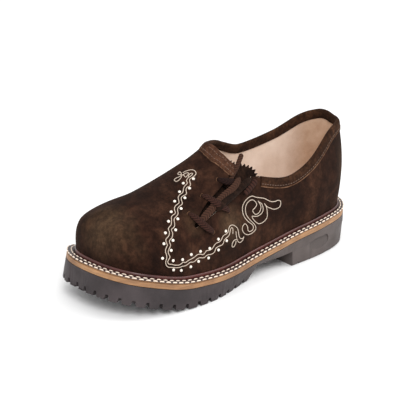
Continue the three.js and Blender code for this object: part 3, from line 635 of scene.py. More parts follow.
def rubber(name, shade=1.0):
    """Matt moulded rubber: duller towards the toe, greyer at the heel."""
    s = Shader(name, 0.62, Specular_IOR_Level=0.3)
    cloudy = s.noise(30, 4, 0.6)
    dull = s.ramp(cloudy, (0.3, srgb(44, 38, 39)), (0.7, srgb(66, 58, 59)))
    grey = s.ramp(cloudy, (0.3, srgb(68, 60, 58)), (0.7, srgb(92, 83, 80)))
    tone = s.mix(1 - shade, s.mix(s.along(-40, 60), dull, grey), srgb(20, 16, 17))
    speck = s.noise(2200, 3, 0.7)
    s.colour(s.grained(0.3, tone, speck, (0.3, srgb(140, 140, 140)), (0.7, srgb(210, 210, 210))))
    s.rough(s.ramp(s.noise(80, 4), (0.3, (0.5,) * 3 + (1,)), (0.7, (0.72,) * 3 + (1,))))
    s.bump((speck, 0.3, 0.08), (s.noise(160, 3), 0.15, 0.25))
    return s.mat


def thread(name, dark, light):
    """Twisted thread of a seam or of the embroidery."""
    s = Shader(name, 0.7, Sheen_Weight=0.2)
    twist = s.noise(1800, 3, 0.7)
    s.colour(s.ramp(twist, (0.3, dark), (0.65, light)))
    s.bump((twist, 0.4, 0.12))
    return s.mat


def braided(name, groove_shade, crest):
    """Lace yarn, with painted shade in the grooves between its strands and its own tone on their crests."""
    s = Shader(name, 0.85, Sheen_Weight=0.02, Specular_IOR_Level=0.08)
    fibres = s.noise(1500, 3, 0.7)
    tone = s.ramp(s.attribute("crest"), (0.1, groove_shade), (0.95, crest))
    s.colour(s.grained(0.4, tone, fibres, (0.3, srgb(140, 138, 136)), (0.7, srgb(215, 213, 210))))
    s.bump((fibres, 0.35, 0.12))
    return s.mat


def lining_leather():
    """Smooth beige leather, handled and darker at the heel."""
    s = Shader("lining", 0.72, Specular_IOR_Level=0.3)
    cloudy = s.noise(26, 5, 0.65)
    fresh = ((0.3, srgb(214, 188, 167)), (0.55, srgb(231, 208, 190)), (0.75, srgb(240, 221, 205)))
    handled = ((0.3, srgb(150, 114, 88)), (0.5, srgb(182, 148, 122)), (0.75, srgb(206, 176, 152)))
    tone = s.mix(s.along(*HEEL_LINING), s.ramp(cloudy, *fresh), s.ramp(cloudy, *handled))
    pores = s.voronoi(1500)
    s.colour(s.grained(0.2, tone, pores, (0.0, srgb(140, 140, 140)), (0.7, srgb(200, 200, 200))))
    s.bump((pores, 0.2, 0.1), (s.noise(220, 3), 0.25, 0.3))
    return s.mat


RUBBED_PLACES = [
    (-131, -5, 75, 27),
    (-112, -22, 56, 14),
    (-60, -30, 66, 14),
    (146, 0, 74, 26),
    (-20, -40, 62, 16),
]
SUEDE = suede("suede", srgb(24, 12, 8), srgb(40, 23, 16), srgb(64, 42, 31), rubbed=RUBBED_PLACES)
BINDING = suede(
    "binding_suede", srgb(32, 18, 12), srgb(48, 30, 20), srgb(68, 45, 32), marked_tone=srgb(74, 49, 37), mottle=60.0,
)
DARK_SUEDE = suede("dark_suede", srgb(18, 10, 8), srgb(30, 19, 14), srgb(48, 32, 25), mottle=80.0)
LINING = lining_leather()
WELT_LEATHER = smooth_leather("welt_leather", srgb(34, 14, 11), srgb(54, 25, 20), 0.5)
BEAD_LEATHER = smooth_leather("bead_leather", srgb(52, 20, 17), srgb(84, 40, 34), 0.34)
TAN_EDGE = cut_edge("tan_edge", srgb(118, 82, 52), srgb(164, 124, 86))
RUBBER = rubber("rubber")
DARK_RUBBER = rubber("dark_rubber", 0.8)
STITCH_THREAD = thread("stitch_thread", srgb(196, 170, 148), srgb(248, 232, 214))
EMBROIDERY = thread("embroidery_thread", srgb(150, 130, 112), srgb(212, 196, 178))
KNOTS = thread("knot_thread", srgb(212, 200, 184), srgb(246, 238, 227))
PIPING = suede("piping_suede", srgb(70, 48, 36), srgb(92, 66, 50), srgb(120, 90, 70), mottle=90.0)
SEAM_THREAD = thread("seam_thread", srgb(58, 38, 28), srgb(112, 84, 64))
# The first colour of each lace is the painted shade in the grooves between its strands.
LACE = braided("lace_braid", srgb(8, 3, 2), srgb(56, 34, 28))
LIGHT_LACE = braided("light_braid", srgb(16, 8, 5), srgb(68, 45, 35))
# Lace of the first bar, painted darker as the shadow under the end of the strip beside the slit.
SHADOWED_LACE = braided("shadowed_braid", srgb(4, 2, 2), srgb(34, 19, 16))


def dress(obj, *materials):
    """Gives an object its materials."""
    obj.data.materials.clear()
    for m in materials:
        obj.data.materials.append(m)
    return obj


# camera

CAMERA_AZIMUTH = math.radians(39.5)  # towards the toe, from square to the outer side
CAMERA_ELEVATION = math.radians(21.0)
CAMERA_DISTANCE = 1487.0
CAMERA_TARGET = np.array([-9.0, 5.4, 60.0]) + ORIGIN
PIXELS = 416
FOCAL_PIXELS = 1625.0
SENSOR = 36.0
BACK = np.array([
    -math.sin(CAMERA_AZIMUTH) * math.cos(CAMERA_ELEVATION),
    -math.cos(CAMERA_AZIMUTH) * math.cos(CAMERA_ELEVATION),
    math.sin(CAMERA_ELEVATION),
])
RIGHT = np.array([math.cos(CAMERA_AZIMUTH), -math.sin(CAMERA_AZIMUTH), 0.0])
UP = np.cross(BACK, RIGHT)
EYE = CAMERA_TARGET + BACK * CAMERA_DISTANCE


def add_camera():
    data = bpy.data.cameras.new("camera")
    data.sensor_width = SENSOR
    data.lens = FOCAL_PIXELS * SENSOR / PIXELS
    data.clip_start, data.clip_end = 0.1, 20.0
    camera = bpy.data.objects.new("camera", data)
    camera.location = Vector(EYE * MM)
    camera.rotation_mode = "QUATERNION"
    camera.rotation_quaternion = Vector(-BACK).to_track_quat("-Z", "Y")
    bpy.context.scene.collection.objects.link(camera)
    bpy.context.scene.camera = camera


add_camera()

# the lace's free end

BRAID_SIDES = 24
LACE_END_STEPS = 110
LACE_END_TIP = 0.07  # share of its length over which its tip is rounded


def catmull(points, count):
    """A smooth line through points, as count equally spaced points."""
    p = np.asarray(points, float)
    ext = np.concatenate([[2 * p[0] - p[1]], p, [2 * p[-1] - p[-2]]])
    fine = []
    for i in range(1, len(ext) - 2):
        p0, p1, p2, p3 = ext[i - 1:i + 3]
        for t in np.linspace(0, 1, 24, endpoint=False):
            m, q = (p2 - p0) / 2, (p3 - p1) / 2
            fine.append(p1 + t * (m + t * (3 * (p2 - p1) - 2 * m - q + t * (2 * (p1 - p2) + m + q))))
    fine.append(p[-1])
    fine = np.array(fine)
    run = run_along(fine)
    return interpolated(np.linspace(0, run[-1], count), run, fine)


def frames_along(path, up):
    """Tangent, side and up directions along a path; up is one direction or one a point."""
    tangent = unit(np.gradient(path, axis=0))
    up = np.broadcast_to(up, path.shape)
    side = unit(np.cross(tangent, up))
    return tangent, side, np.cross(side, tangent)


def round_rings(path, ups, radius, flat=1.0, sides=8):
    """Rings of a round thread along a path, flattened to a share of its width."""
    _, side, rise = frames_along(path, ups)
    radius = np.broadcast_to(radius, len(path))
    angles = np.arange(sides) * 2 * math.pi / sides
    across = side[:, None] * np.outer(radius, np.cos(angles))[..., None]
    upward = rise[:, None] * np.outer(radius, np.sin(angles) * flat)[..., None]
    return path[:, None] + across + upward


def braid(name, path, up, width, thick, material, replaces, pitch=3.0, relief=0.3, chevron=1.0):
    """A braided lace: strands cross over it in chevrons; their crests are lighter, and the grooves between
    them take a painted shade.
    """
    _, side, rise = frames_along(path, up)
    run = run_along(path)
    angles = np.arange(BRAID_SIDES) * 2 * math.pi / BRAID_SIDES
    across = np.cos(angles)
    rings, crests = [], []
    for i, centre in enumerate(path):
        phase = 2 * math.pi * (run[i] / pitch + np.abs(across) * chevron)
        crest = np.abs(np.sin(phase / 2)) ** 0.7
        half_w, half_t = width[i] / 2, thick[i] / 2
        depth = np.minimum(relief, 0.25 * half_t)
        c = across * (half_w - depth * (1 - crest))
        t = np.sin(angles) * (half_t - depth * (1 - crest))
        rings.append(centre + side[i] * c[:, None] + rise[i] * t[:, None])
        crests.append(crest)
    obj = make(name, *tube(rings), "lace", replaces)
    mark(obj, np.concatenate(crests))
    return dress(obj, material)


def mark(obj, values):
    """Keeps a number from 0 to 1 at each point, by which the material mixes two tones; on laces it sets the
    painted shade of their grooves against their crests.
    """
    layer = obj.data.attributes.new("crest", "FLOAT", "POINT")
    layer.data.foreach_set("value", np.asarray(values, float))


def add_lace_end():
    """The free end, which stands in the opening."""
    path = catmull(LACE_END, LACE_END_STEPS)
    from_tip = (np.linspace(0, 1, len(path)) - 1 + LACE_END_TIP) / LACE_END_TIP
    taper = np.sqrt(np.clip(1 - np.clip(from_tip, 0, 1) ** 2, 0.03, 1))
    width = LACE_END_WIDTH * taper
    obj = braid("lace_end_braid", path, np.array([0.2, -1, 0.1]), width, width * 0.86, LIGHT_LACE,
                ["lace_end"], pitch=2.6, relief=0.32)


add_lace_end()

# upper

SLIT_REACH = 6.0  # of the slit's cut to both sides
SUEDE_DEPTH = 1.25  # the rest of the wall is its lining
COLUMNS = 12  # a section
ROWS = 46  # up to the vamp's corner
EDGE_ROWS = 28
HALF = LAST * COLUMNS
RELAX_RADIUS, RELAX_ROUNDS = 30.0, 120
QUARTER_SHARES = np.linspace(0, 1, ROWS + 1)
VAMP_SHARES = np.concatenate([QUARTER_SHARES * CORNER, np.linspace(CORNER, 1, EDGE_ROWS + 1)[1:]])


def wall_columns():
    """Side, section and shares of the height of each column, once round the shoe."""
    result = []
    for i in range(2 * HALF):
        side = "lateral" if i <= HALF else "medial"
        section = (i if i <= HALF else 2 * HALF - i) / COLUMNS
        short = side == "lateral" and 0 < section < THROAT
        result.append((side, section, QUARTER_SHARES if short else VAMP_SHARES))
    return result


def zip_columns(first, second):
    """Faces between two neighbouring columns: quads, or triangles where rows differ."""
    if len(first) == len(second):
        return [(first[i], first[i + 1], second[i + 1], second[i]) for i in range(len(first) - 1)]
    faces, i, j = [], 0, 0
    while i < len(first) - 1 or j < len(second) - 1:
        ahead = j == len(second) - 1 or (
            i < len(first) - 1 and (i + 1) / (len(first) - 1) <= (j + 1) / (len(second) - 1)
        )
        if ahead:
            faces.append((first[i], first[i + 1], second[j]))
            i += 1
        else:
            faces.append((first[i], second[j + 1], second[j]))
            j += 1
    return faces


def wall_surface():
    """The upper's outer face: points, faces, its columns and the loop of its top edge."""
    columns = wall_columns()
    points, index, seen = [], [], {}
    for side, section, shares in columns:
        line = []
        for p in column(side, section, shares):
            key = tuple(np.round(p, 3))
            if key not in seen:
                seen[key] = len(points)
                points.append(p)
            line.append(seen[key])
        index.append(line)
    faces, brink = [], []
    for i, line in enumerate(index):
        after = index[(i + 1) % len(index)]
        if len(line) < len(after) and i > 0:
            after = after[:len(line)]
        faces += [f for f in zip_columns(line, after) if len(set(f)) == len(f)]
        side, section, _ = columns[i]
        if section < THROAT:
            brink.append(line[-1])
        elif section == THROAT and side == "lateral":
            brink += line[ROWS:]
    return np.array(points), faces, [line[0] for line in index], brink


def vertex_normals(points, faces):
    """Smooth normals of a surface at its points."""
    normals = np.zeros_like(points)
    for f in faces:
        a, b, c = points[f[0]], points[f[1]], points[f[2]]
        n = np.cross(b - a, c - a)
        if len(f) == 4:
            n = n + np.cross(points[f[2]] - a, points[f[3]] - a)
        for v in f:
            normals[v] += n
    return unit(normals)


def relaxed(points, faces, place, radius, rounds):
    """Points smoothed around a place, where the columns of the toe run together."""
    pairs = np.array([(f[i], f[(i + 1) % len(f)]) for f in faces for i in range(len(f))])
    pairs = np.concatenate([pairs, pairs[:, ::-1]])
    count = np.bincount(pairs[:, 0], minlength=len(points))[:, None]
    share = smoothstep(radius - np.linalg.norm(points - place, axis=1), 0, radius * 0.6)[:, None]
    for _ in range(rounds):
        mean = np.stack([np.bincount(pairs[:, 0], points[pairs[:, 1], k], len(points)) for k in range(3)], 1)
        points = points + (mean / count - points) * share
    return points


FACE_POINTS, FACE_QUADS, FEET, BRINK = wall_surface()
RIDGE_END = column("lateral", LAST, 1.0)
FACE_POINTS = relaxed(FACE_POINTS, FACE_QUADS, RIDGE_END, RELAX_RADIUS, RELAX_ROUNDS)
FACE_NORMALS = vertex_normals(FACE_POINTS, FACE_QUADS)
CENTRE = FACE_POINTS.mean(0)
if np.sum((FACE_POINTS - CENTRE) * FACE_NORMALS) < 0:
    FACE_NORMALS = -FACE_NORMALS


def face_tree(points, faces):
    """A tree of a surface, for rays and nearest places."""
    return BVHTree.FromPolygons([Vector(p) for p in points], [tuple(map(int, f)) for f in faces])


BARE_FACE = face_tree(FACE_POINTS, FACE_QUADS)


def pixel_ray(px, py):
    """Where the camera stands, and the direction in which it sees a pixel of the photo."""
    across, down = (px - PIXELS / 2) / FOCAL_PIXELS, (py - PIXELS / 2) / FOCAL_PIXELS
    direction = RIGHT * across - UP * down - BACK
    return Vector(EYE - ORIGIN), Vector(unit(direction))


def on_face(px, py, bvh=None):
    """Where the photo's pixel falls on the upper: the point and the normal there."""
    hit, _, index, _ = (bvh or BARE_FACE).ray_cast(*pixel_ray(px, py))
    near = list(FACE_QUADS[index])
    weights = np.array([1 / (0.2 + np.linalg.norm(FACE_POINTS[v] - np.array(hit))) for v in near])
    normal = unit((FACE_NORMALS[near] * weights[:, None]).sum(0))
    return np.array(hit), normal


# Soft creases and swellings of the suede: pixels of the photo along each, its half
# width and its depth in millimetres (negative swells).
CREASES = [
    ([(92, 222), (112, 216), (134, 210)], 7.0, 0.5),
    ([(150, 196), (166, 204), (176, 220)], 8.0, 0.35),
    ([(196, 238), (214, 232), (236, 214)], 7.0, 0.45),
    ([(262, 214), (268, 190), (266, 178)], 8.0, 0.4),
    ([(296, 226), (304, 204), (310, 182)], 9.0, 0.45),
    ([(281, 222), (288, 200), (292, 182)], 9.0, -0.4),
    ([(326, 214), (330, 188), (331, 164)], 7.0, 0.4),
    ([(184, 262), (210, 250), (240, 232)], 9.0, -0.4),
    ([(120, 262), (150, 266), (184, 274)], 8.0, 0.3),
]


RIPPLE_DEPTH = 0.16


def crease_depth(points):
    """How deep the creases lie at each point."""
    depth = np.zeros(len(points))
    for pixels, width, amount in CREASES:
        line = catmull([on_face(*p)[0] for p in pixels], 40)
        nearest = np.min(np.linalg.norm(points[:, None] - line[None], axis=2), axis=1)
        depth += amount * np.exp(-((nearest / width) ** 2))
    return depth


def ripples(points):
    """Slow unevenness of a hand-lasted upper."""
    x, y, z = points.T
    wave = np.sin(x / 19 + 0.7 * np.sin(z / 13)) * np.sin(z / 16 + 1.3 + 0.5 * np.sin(x / 23))
    return RIPPLE_DEPTH * (wave + 0.5 * np.sin(y / 11 + x / 31))


SKIN = FACE_POINTS - FACE_NORMALS * (crease_depth(FACE_POINTS) + ripples(FACE_POINTS))[:, None]
SKIN_NORMALS = FACE_NORMALS
SKIN_BVH = face_tree(SKIN, FACE_QUADS)


def shell(outer, inner):
    """Points and faces of a closed layer of the wall between two depths."""
    count = len(SKIN)
    points = np.concatenate([SKIN - SKIN_NORMALS * outer, SKIN - SKIN_NORMALS * inner])
    faces = list(FACE_QUADS) + [tuple(v + count for v in reversed(f)) for f in FACE_QUADS]
    for loop in (FEET, BRINK):
        for a, b in zip(loop, loop[1:] + loop[:1]):
            if a != b:
                faces.append((a, b, b + count, a + count))
    return points, faces


def slit_cutter(reach):
    """A solid along the lacing slit, to that distance on both sides of the vamp."""
    rings = []
    for i in np.linspace(0, SLIT["i"][-1], 36):
        row = curve(SLIT, "i", i)
        a = (row["vamp_section"], row["vamp_share"])
        b = (row["quarter_section"], row["quarter_share"])
        rings.append([vamp(*a, -reach), vamp(*a, reach), vamp(*b, reach), vamp(*b, -reach)])
    return bare_object("cutter", *tube(rings))


def add_upper():
    """Suede and lining, each a closed layer of the wall with the slit cut through."""
    layers = (
        ("upper_suede", 0.0, SUEDE_DEPTH, "suede", SUEDE),
        ("upper_lining", SUEDE_DEPTH + 0.05, WALL, "lining_leather", LINING),
    )
    for name, outer, inner, slot, material in layers:
        obj = make(name, *shell(outer, inner), slot, ["upper"])
        boolean(obj, slit_cutter(SLIT_REACH), "DIFFERENCE")
        smooth(obj)
        dress(obj, material)


add_upper()

# sole

WELT_STITCH = (6.2, 4.5, 1.25)  # pitch, length and width
TURNS = np.arange(528) / 528
SECTION_OF_TURN = np.where(TURNS <= 0.5, TURNS, 1 - TURNS) * 2 * LAST


def ring_at(inset, height):
    """A ring along the outline, moved inwards and lifted over the rubber's top."""
    place, _ = outline(TURNS, inset)
    return bent(place[:, 0], place[:, 1], height)


def banded(name, rings, slot, replaces, material, closed_loop):
    """A band around the shoe. Its section closes on itself, or is capped across."""
    rings = np.array(rings)
    n, k = rings.shape[:2]
    faces = grid_faces(n, k, loop=True)
    if closed_loop:
        faces += [((n - 1) * k + c, (n - 1) * k + (c + 1) % k, (c + 1) % k, c) for c in range(k)]
    else:
        for base, flip in ((0, True), ((n - 1) * k, False)):
            for c in range(k // 2 - 1):
                quad = (base + c, base + c + 1, base + (k - c - 1) % k, base + (k - c) % k)
                quad = tuple(dict.fromkeys(quad))
                faces.append(quad[::-1] if flip else quad)
            faces.append((base + k // 2 - 1, base + k // 2, base + k // 2 + 1))
    obj = make(name, rings.reshape(-1, 3), faces, slot, replaces)
    return dress(obj, material)


def add_midsole():
    """One leather layer, its edge rounded off and with a faint line along its middle."""
    round_off, corner = 0.5, 0.12
    profile = [(round_off, 0), (corner, corner), (0, round_off)]
    profile += [(0.05, 1.6), (0.22, 1.95), (0.05, 2.3), (0, 2.8)]
    profile += [(0, MIDSOLE - round_off), (corner, MIDSOLE - corner), (round_off, MIDSOLE)]
    rings = [ring_at(inset, height) for inset, height in profile]
    banded("midsole_edge", rings, "midsole_leather", ["midsole"], TAN_EDGE, closed_loop=False)


def bow(first, corner, last, t):
    """A place on the curve that leaves one line towards a corner and ends at another."""
    return (1 - t) ** 2 * first + 2 * (1 - t) * t * corner + t * t * last


def beside_upper(height):
    """Points next to the upper's foot, at a height over the feather line."""
    result = []
    for i, turn in enumerate(TURNS):
        side = "lateral" if turn <= 0.5 else "medial"
        section = SECTION_OF_TURN[i]
        shares = np.linspace(0, 0.3, 31)
        line = column(side, section, shares)
        place, inward = outline(turn, 0.0)
        slope = rubber_slope(place[0])
        up = unit([slope, 0, 1])
        heights = (line - line[0]) @ up
        share = np.interp(height, heights, shares)
        out = np.array([inward[0], -inward[1], 0])
        result.append(column(side, section, share) + out * GAP)
    return np.array(result)


def add_welt():
    """The stitched shelf, cut in tan leather below, and the bead that rolls up to the upper."""
    shelf = shelf_width(SECTION_OF_TURN)
    top = FEATHER + WELT
    foot = allowance(SECTION_OF_TURN) - GAP
    profile = [
        (foot, FEATHER),
        (0.35, FEATHER),
        (0, FEATHER + WELT * 0.35),
        (0, top - 0.7),
        (0.25, top - 0.15),
        (0.8, top),
        (shelf * 0.5, top - 0.05),
        (shelf - 0.35, top),
        (shelf, top - 0.35),
        (shelf + 0.3, top - 0.2),
        (foot, top - 0.6),
    ]
    rings = [ring_at(inset, height) for inset, height in profile]
    shelf_piece = banded("welt_shelf", rings, "welt_leather", ["welt"], WELT_LEATHER, closed_loop=True)
    shelf_piece.data.materials.append(TAN_EDGE)
    lowest_bands = shelf_piece.data.polygons[:2 * len(TURNS)]
    for polygon in lowest_bands:
        polygon.material_index = 1
    low, high = beside_upper(WELT * 0.5), beside_upper(WELT + BEAD_HEIGHT * 0.8)
    base = ring_at(shelf + 0.25, top - 0.25)
    crown = ring_at(shelf + BEAD_WIDTH * 0.45, top + BEAD_HEIGHT)
    outside = ring_at(shelf - 0.1, top + BEAD_HEIGHT * 1.05)
    inside = high + [0, 0, 0.35]
    rings = [base]
    rings += [bow(base, outside, crown, t) for t in np.linspace(0.15, 1, 8)]
    rings += [bow(crown, inside, high, t) for t in np.linspace(0.25, 1, 4)]
    rings += [low, ring_at(foot, FEATHER + 0.2)]
    banded("welt_bead", rings, "welt_leather", ["welt"], BEAD_LEATHER, closed_loop=True)


def stitches(name, centres, ups, pitch, length, width, phase, slot, material, height=0.25):
    """Single stitches along a line. Each is a short thread that dips at both its ends."""
    run = run_along(centres)
    count = int(run[-1] / pitch)
    step = run[-1] / count
    share = np.linspace(-1, 1, 7)
    dip = np.abs(share) ** 3
    threads = []
    for k in range(count):
        at = np.mod((k + phase) * step + share * length / 2, run[-1])
        up = unit(interpolated(at, run, ups))
        centre = interpolated(at, run, centres) + up * (height - (height + width * 0.4) * dip)[:, None]
        threads.append(round_rings(centre, up, width / 2 * (1 - 0.4 * dip), 0.84))
    dress(make(name, *joined_tubes(threads), slot), material)


def welt_stitches(name, inset, height, phase, lean):
    """A row of stitches around the welt, leaning outwards by a slope."""
    dense = np.arange(3001) / 3000
    section = np.where(dense <= 0.5, dense, 1 - dense) * 2 * LAST
    place, inward = outline(dense, inset(section))
    line = bent(place[:, 0], place[:, 1], height)
    slope = rubber_slope(place[:, 0])
    ups = unit(np.stack([slope + inward[:, 0] * lean, -inward[:, 1] * lean, 1 + 0 * slope], 1))
    stitches(name, line, ups, *WELT_STITCH, phase, "welt_leather", STITCH_THREAD)


def add_welt_stitches():
    top = FEATHER + WELT
    welt_stitches("welt_stitches_inner", lambda s: shelf_width(s) * 0.6, top, 0.0, 0.0)
    welt_stitches("welt_stitches_outer", lambda s: 0.12 + 0 * s, top - 0.45, 0.5, 0.9)


add_midsole()
add_welt()
add_welt_stitches()

# Rubber outsole. The sizes below are those of its tread.
BREAST, BREAST_RAKE = 97.0, 3.0
HEEL_TAPER, HEEL_ROUND = 2.0, 1.4
TREAD_REAR, TREAD_SLOPE = 138.0, 13.0
TREAD_FRONT = TREAD_REAR + TREAD_SLOPE
WAIST_TAPER, WAIST_LENGTH, ARCH_TAPER = 9.0, 85.0, 45.0
LUG_PITCH, NOTCH_WIDTH, NOTCH_TOP, NOTCH_HEIGHT, NOTCH_DEPTH = 12.4, 4.8, 2.6, 4.8, 11.0
HEEL_PITCH, HEEL_NOTCH, HEEL_NOTCH_HEIGHT, HEEL_NOTCH_DEPTH = 15.5, 3.4, 1.8, 9.0
GROOVE_DEPTH, GROOVE_INSET, MIDDLE_PITCH, MIDDLE_LENGTH = 4.5, 17.0, 21.0, 13.0
PANEL_LENGTH, PANEL_STATION, PANEL_HEIGHT, PANEL_DEPTH = 27.0, 58.0, 12.0, 0.8


def widths_at(inset):
    """The outline moved inwards: its first and last station, and y over the station."""
    points, _ = outline(TURNS, inset)
    back, front = points[:, 0].argmin(), points[:, 0].argmax()
    lateral = np.roll(points, -back, axis=0)[:(front - back) % len(points) + 1]
    medial = np.roll(points, -front, axis=0)[:(back - front) % len(points) + 1][::-1]
    sides = {}
    for name, line in (("lateral", lateral), ("medial", medial)):
        order = np.argsort(line[:, 0], kind="stable")
        sides[name] = line[order]
    return points[back, 0], points[front, 0], sides


def level_ring(inset, height, first=None, last=None, steps=90, extra=(), flat=False, taper=None):
    """A ring of the outline at a height, between two stations. Flat ones count from the floor."""
    start, end, sides = widths_at(inset)
    drawn = widths_at(inset + WAIST_TAPER)[2]
    start, end = (start if first is None else first), (end if last is None else last)
    shares = (1 - np.cos(np.pi * (np.arange(steps + 1) + 0.35) / (steps + 0.7))) / 2
    stations = np.sort(np.concatenate([start + shares * (end - start), list(extra)]))
    share = taper(stations) if taper else np.zeros(len(stations))

    def y(name):
        edge = np.interp(stations, *sides[name].T)
        return edge + (np.interp(stations, *drawn[name].T) - edge) * share

    h = height(stations) if callable(height) else np.full(len(stations), float(height))
    both = []
    for name in ("lateral", "medial"):
        if flat:
            line = np.stack([SOLE_LENGTH / 2 - stations, y(name), h], 1)
        else:
            line = bent(stations, y(name), h)
        both.append(line if name == "lateral" else line[::-1])
    return np.concatenate(both)


def lofted(name, rings):
    """A solid through level rings, capped by strips across."""
    rings = np.array(rings)
    n, k = rings.shape[:2]
    faces = grid_faces(n, k, loop=True)
    for base, flip in ((0, True), ((n - 1) * k, False)):
        for c in range(k // 2 - 1):
            quad = (base + c, base + c + 1, base + k - 2 - c, base + k - 1 - c)
            faces.append(quad[::-1] if flip else quad)
    return bare_object(name, rings.reshape(-1, 3), faces)


def underside(s):
    """Height of the tread's lower face, counted from the rubber's top."""
    ramp = np.clip((s - TREAD_REAR) / TREAD_SLOPE, 0, 1)
    floor = -rubber_top(s) * np.hypot(1, rubber_slope(s))
    return -ARCH + (np.maximum(floor, -TREAD) + ARCH) * ramp


def waist_share(s):
    """How much of the waist's taper the tread has at a station."""
    behind = smoothstep(s, TREAD_REAR - ARCH_TAPER, TREAD_FRONT)
    return smoothstep(TREAD_FRONT + WAIST_LENGTH - s, 0, WAIST_LENGTH) * behind


def prism(section, depth, origin, right, up, into):
    """An extruded outline, its points (right, up), from origin along into."""
    near = [origin + right * a + up * b for a, b in section]
    far = [p + into * depth for p in near]
    return tube([near, far])


def notch(turn, width, roof, height, depth, heel_inset):
    """The cut between two lugs at the edge. At the heel it starts from the floor."""
    place, inward = outline(turn, 0.0)
    s = place[0]
    margin = 4.0
    upward = np.array([0, 0, 1.0]) if heel_inset else unit([float(rubber_slope(s)), 0, 1])
    foot = bent(s, place[1], 0.0 if heel_inset else float(underside(s)))
    if heel_inset:
        foot[2] = 0
    tangent = np.array([-inward[1], -inward[0], 0.0])
    tangent = unit(tangent - upward * (tangent @ upward))
    into = np.cross(tangent, upward)
    if into @ np.array([-inward[0], inward[1], 0]) < 0:
        tangent, into = -tangent, -into
    half = [(width / 2, -margin), (width / 2, 0), (roof / 2, height)]
    section = [(-half[0][0], -margin)] + half + [(-x, z) for x, z in half[:0:-1]]
    reach = depth + margin + heel_inset + float(waist_share(s)) * WAIST_TAPER
    return prism(section, reach, foot - into * margin, tangent, upward, into)


def turn_at(side, station):
    """The turn at which the outline passes a station on one side."""
    low, high = 0.0, float(LAST)
    for _ in range(40):
        middle = (low + high) / 2
        if outline_points(turn_of(side, middle))[0] < station:
            low = middle
        else:
            high = middle
    return turn_of(side, low)


def equal_turns(first, last, pitch):
    """Turns that lie equally far apart along the edge, about a pitch each."""
    dense = np.linspace(first, last, 2000)
    run = run_along(outline_points(dense))
    count = int(round(run[-1] / pitch))
    return np.interp(np.linspace(0, run[-1], count + 1), run, dense)


PANEL_CUT = 6.0  # reach of the panel's cut outwards


def panel_place():
    """The middle of the heel's sunk panel, and its directions along, up and out."""
    turn = turn_at("lateral", PANEL_STATION)
    place, inward = outline(turn, 0.0)
    tangent = np.array([inward[1], inward[0], 0.0])
    up = unit([0, HEEL_TAPER, HEEL])
    out = np.cross(tangent, up)
    if out[1] > 0:
        tangent, out = -tangent, -out
    floor = place + inward * (HEEL_TAPER / 2 + PANEL_DEPTH)
    origin = np.array([SOLE_LENGTH / 2 - floor[0], floor[1], HEEL / 2])
    return origin, tangent, up, out


def heel_panel():
    """The cut of the sunk panel: straight along, with round ends."""
    origin, tangent, up, out = panel_place()
    radius, half = PANEL_HEIGHT / 2, (PANEL_LENGTH - PANEL_HEIGHT) / 2
    section = []
    for end, first in ((half, -math.pi / 2), (-half, math.pi / 2)):
        section += [(end + radius * math.cos(a), radius * math.sin(a))
                    for a in np.linspace(first, first + math.pi, 13)]
    return prism(section, PANEL_CUT, origin, tangent, up, out)


def dull_panel(body):
    """The panel's floor is a shade darker than the heel."""
    origin, tangent, up, out = panel_place()
    for polygon in body.data.polygons:
        away = np.array(polygon.center) / MM - ORIGIN - origin
        inside = abs(away @ tangent) < PANEL_LENGTH / 2 and abs(away @ up) < PANEL_HEIGHT / 2
        if inside and abs(away @ out) < GAP:
            polygon.material_index = 1


def add_outsole():
    """Tread and heel, joined, with their notches, the panel and the field of middle lugs cut in."""
    extra = [TREAD_REAR, TREAD_FRONT]
    body = lofted("outsole_rubber", [
        level_ring(0, underside, extra=extra, taper=waist_share),
        level_ring(0, -GAP, extra=extra),
    ])
    foot = BREAST - BREAST_RAKE
    raked = foot + BREAST_RAKE * HEEL_ROUND / HEEL
    heel = lofted("heel", [
        level_ring(HEEL_TAPER + HEEL_ROUND, 0, last=foot, steps=40, flat=True),
        level_ring(HEEL_TAPER, HEEL_ROUND, last=raked, steps=40, flat=True),
        level_ring(0, lambda s: rubber_top(s) - ARCH / 2, last=BREAST, steps=40, flat=True),
    ])
    boolean(body, heel, "UNION")
    first = TREAD_FRONT + LUG_PITCH / 2
    cuts = [notch(t, NOTCH_WIDTH, NOTCH_TOP, NOTCH_HEIGHT, NOTCH_DEPTH, 0)
            for t in equal_turns(turn_at("lateral", first), turn_at("medial", first), LUG_PITCH)]
    start, end = 0.02 * SOLE_LENGTH, foot - HEEL_PITCH / 2
    heel_cut = (HEEL_NOTCH, HEEL_NOTCH, HEEL_NOTCH_HEIGHT, HEEL_NOTCH_DEPTH, HEEL_TAPER + HEEL_ROUND)
    for side in ("lateral", "medial"):
        ends = sorted((turn_at(side, start), turn_at(side, end)))
        cuts += [notch(t, *heel_cut) for t in equal_turns(*ends, HEEL_PITCH)]
    for cut in cuts:
        boolean(body, bare_object("notch", *cut), "DIFFERENCE")
    boolean(body, bare_object("panel", *heel_panel()), "DIFFERENCE")
    first, last = TREAD_FRONT + MIDDLE_PITCH / 2, SOLE_LENGTH - GROOVE_INSET
    field = lofted("field", [
        level_ring(GROOVE_INSET, lambda s: underside(s) - GROOVE_DEPTH, first, last, steps=30),
        level_ring(GROOVE_INSET, lambda s: underside(s) + GROOVE_DEPTH, first, last, steps=30),
    ])
    count = int((last - first) // MIDDLE_PITCH)
    for i in range(count):
        middle = first + (i + 0.5) * (last - first) / count
        ends = (middle - MIDDLE_LENGTH / 2, middle + MIDDLE_LENGTH / 2)
        inset = GROOVE_INSET + NOTCH_WIDTH
        lug = lofted("lug", [
            level_ring(inset, lambda s: underside(s) - 3 * GROOVE_DEPTH, *ends, steps=4),
            level_ring(inset, 0, *ends, steps=4),
        ])
        boolean(field, lug, "DIFFERENCE")
    boolean(body, field, "DIFFERENCE")
    finish_piece(body, ["outsole"])
    dress(body, RUBBER, DARK_RUBBER)
    dull_panel(body)


add_outsole()

# binding of the opening

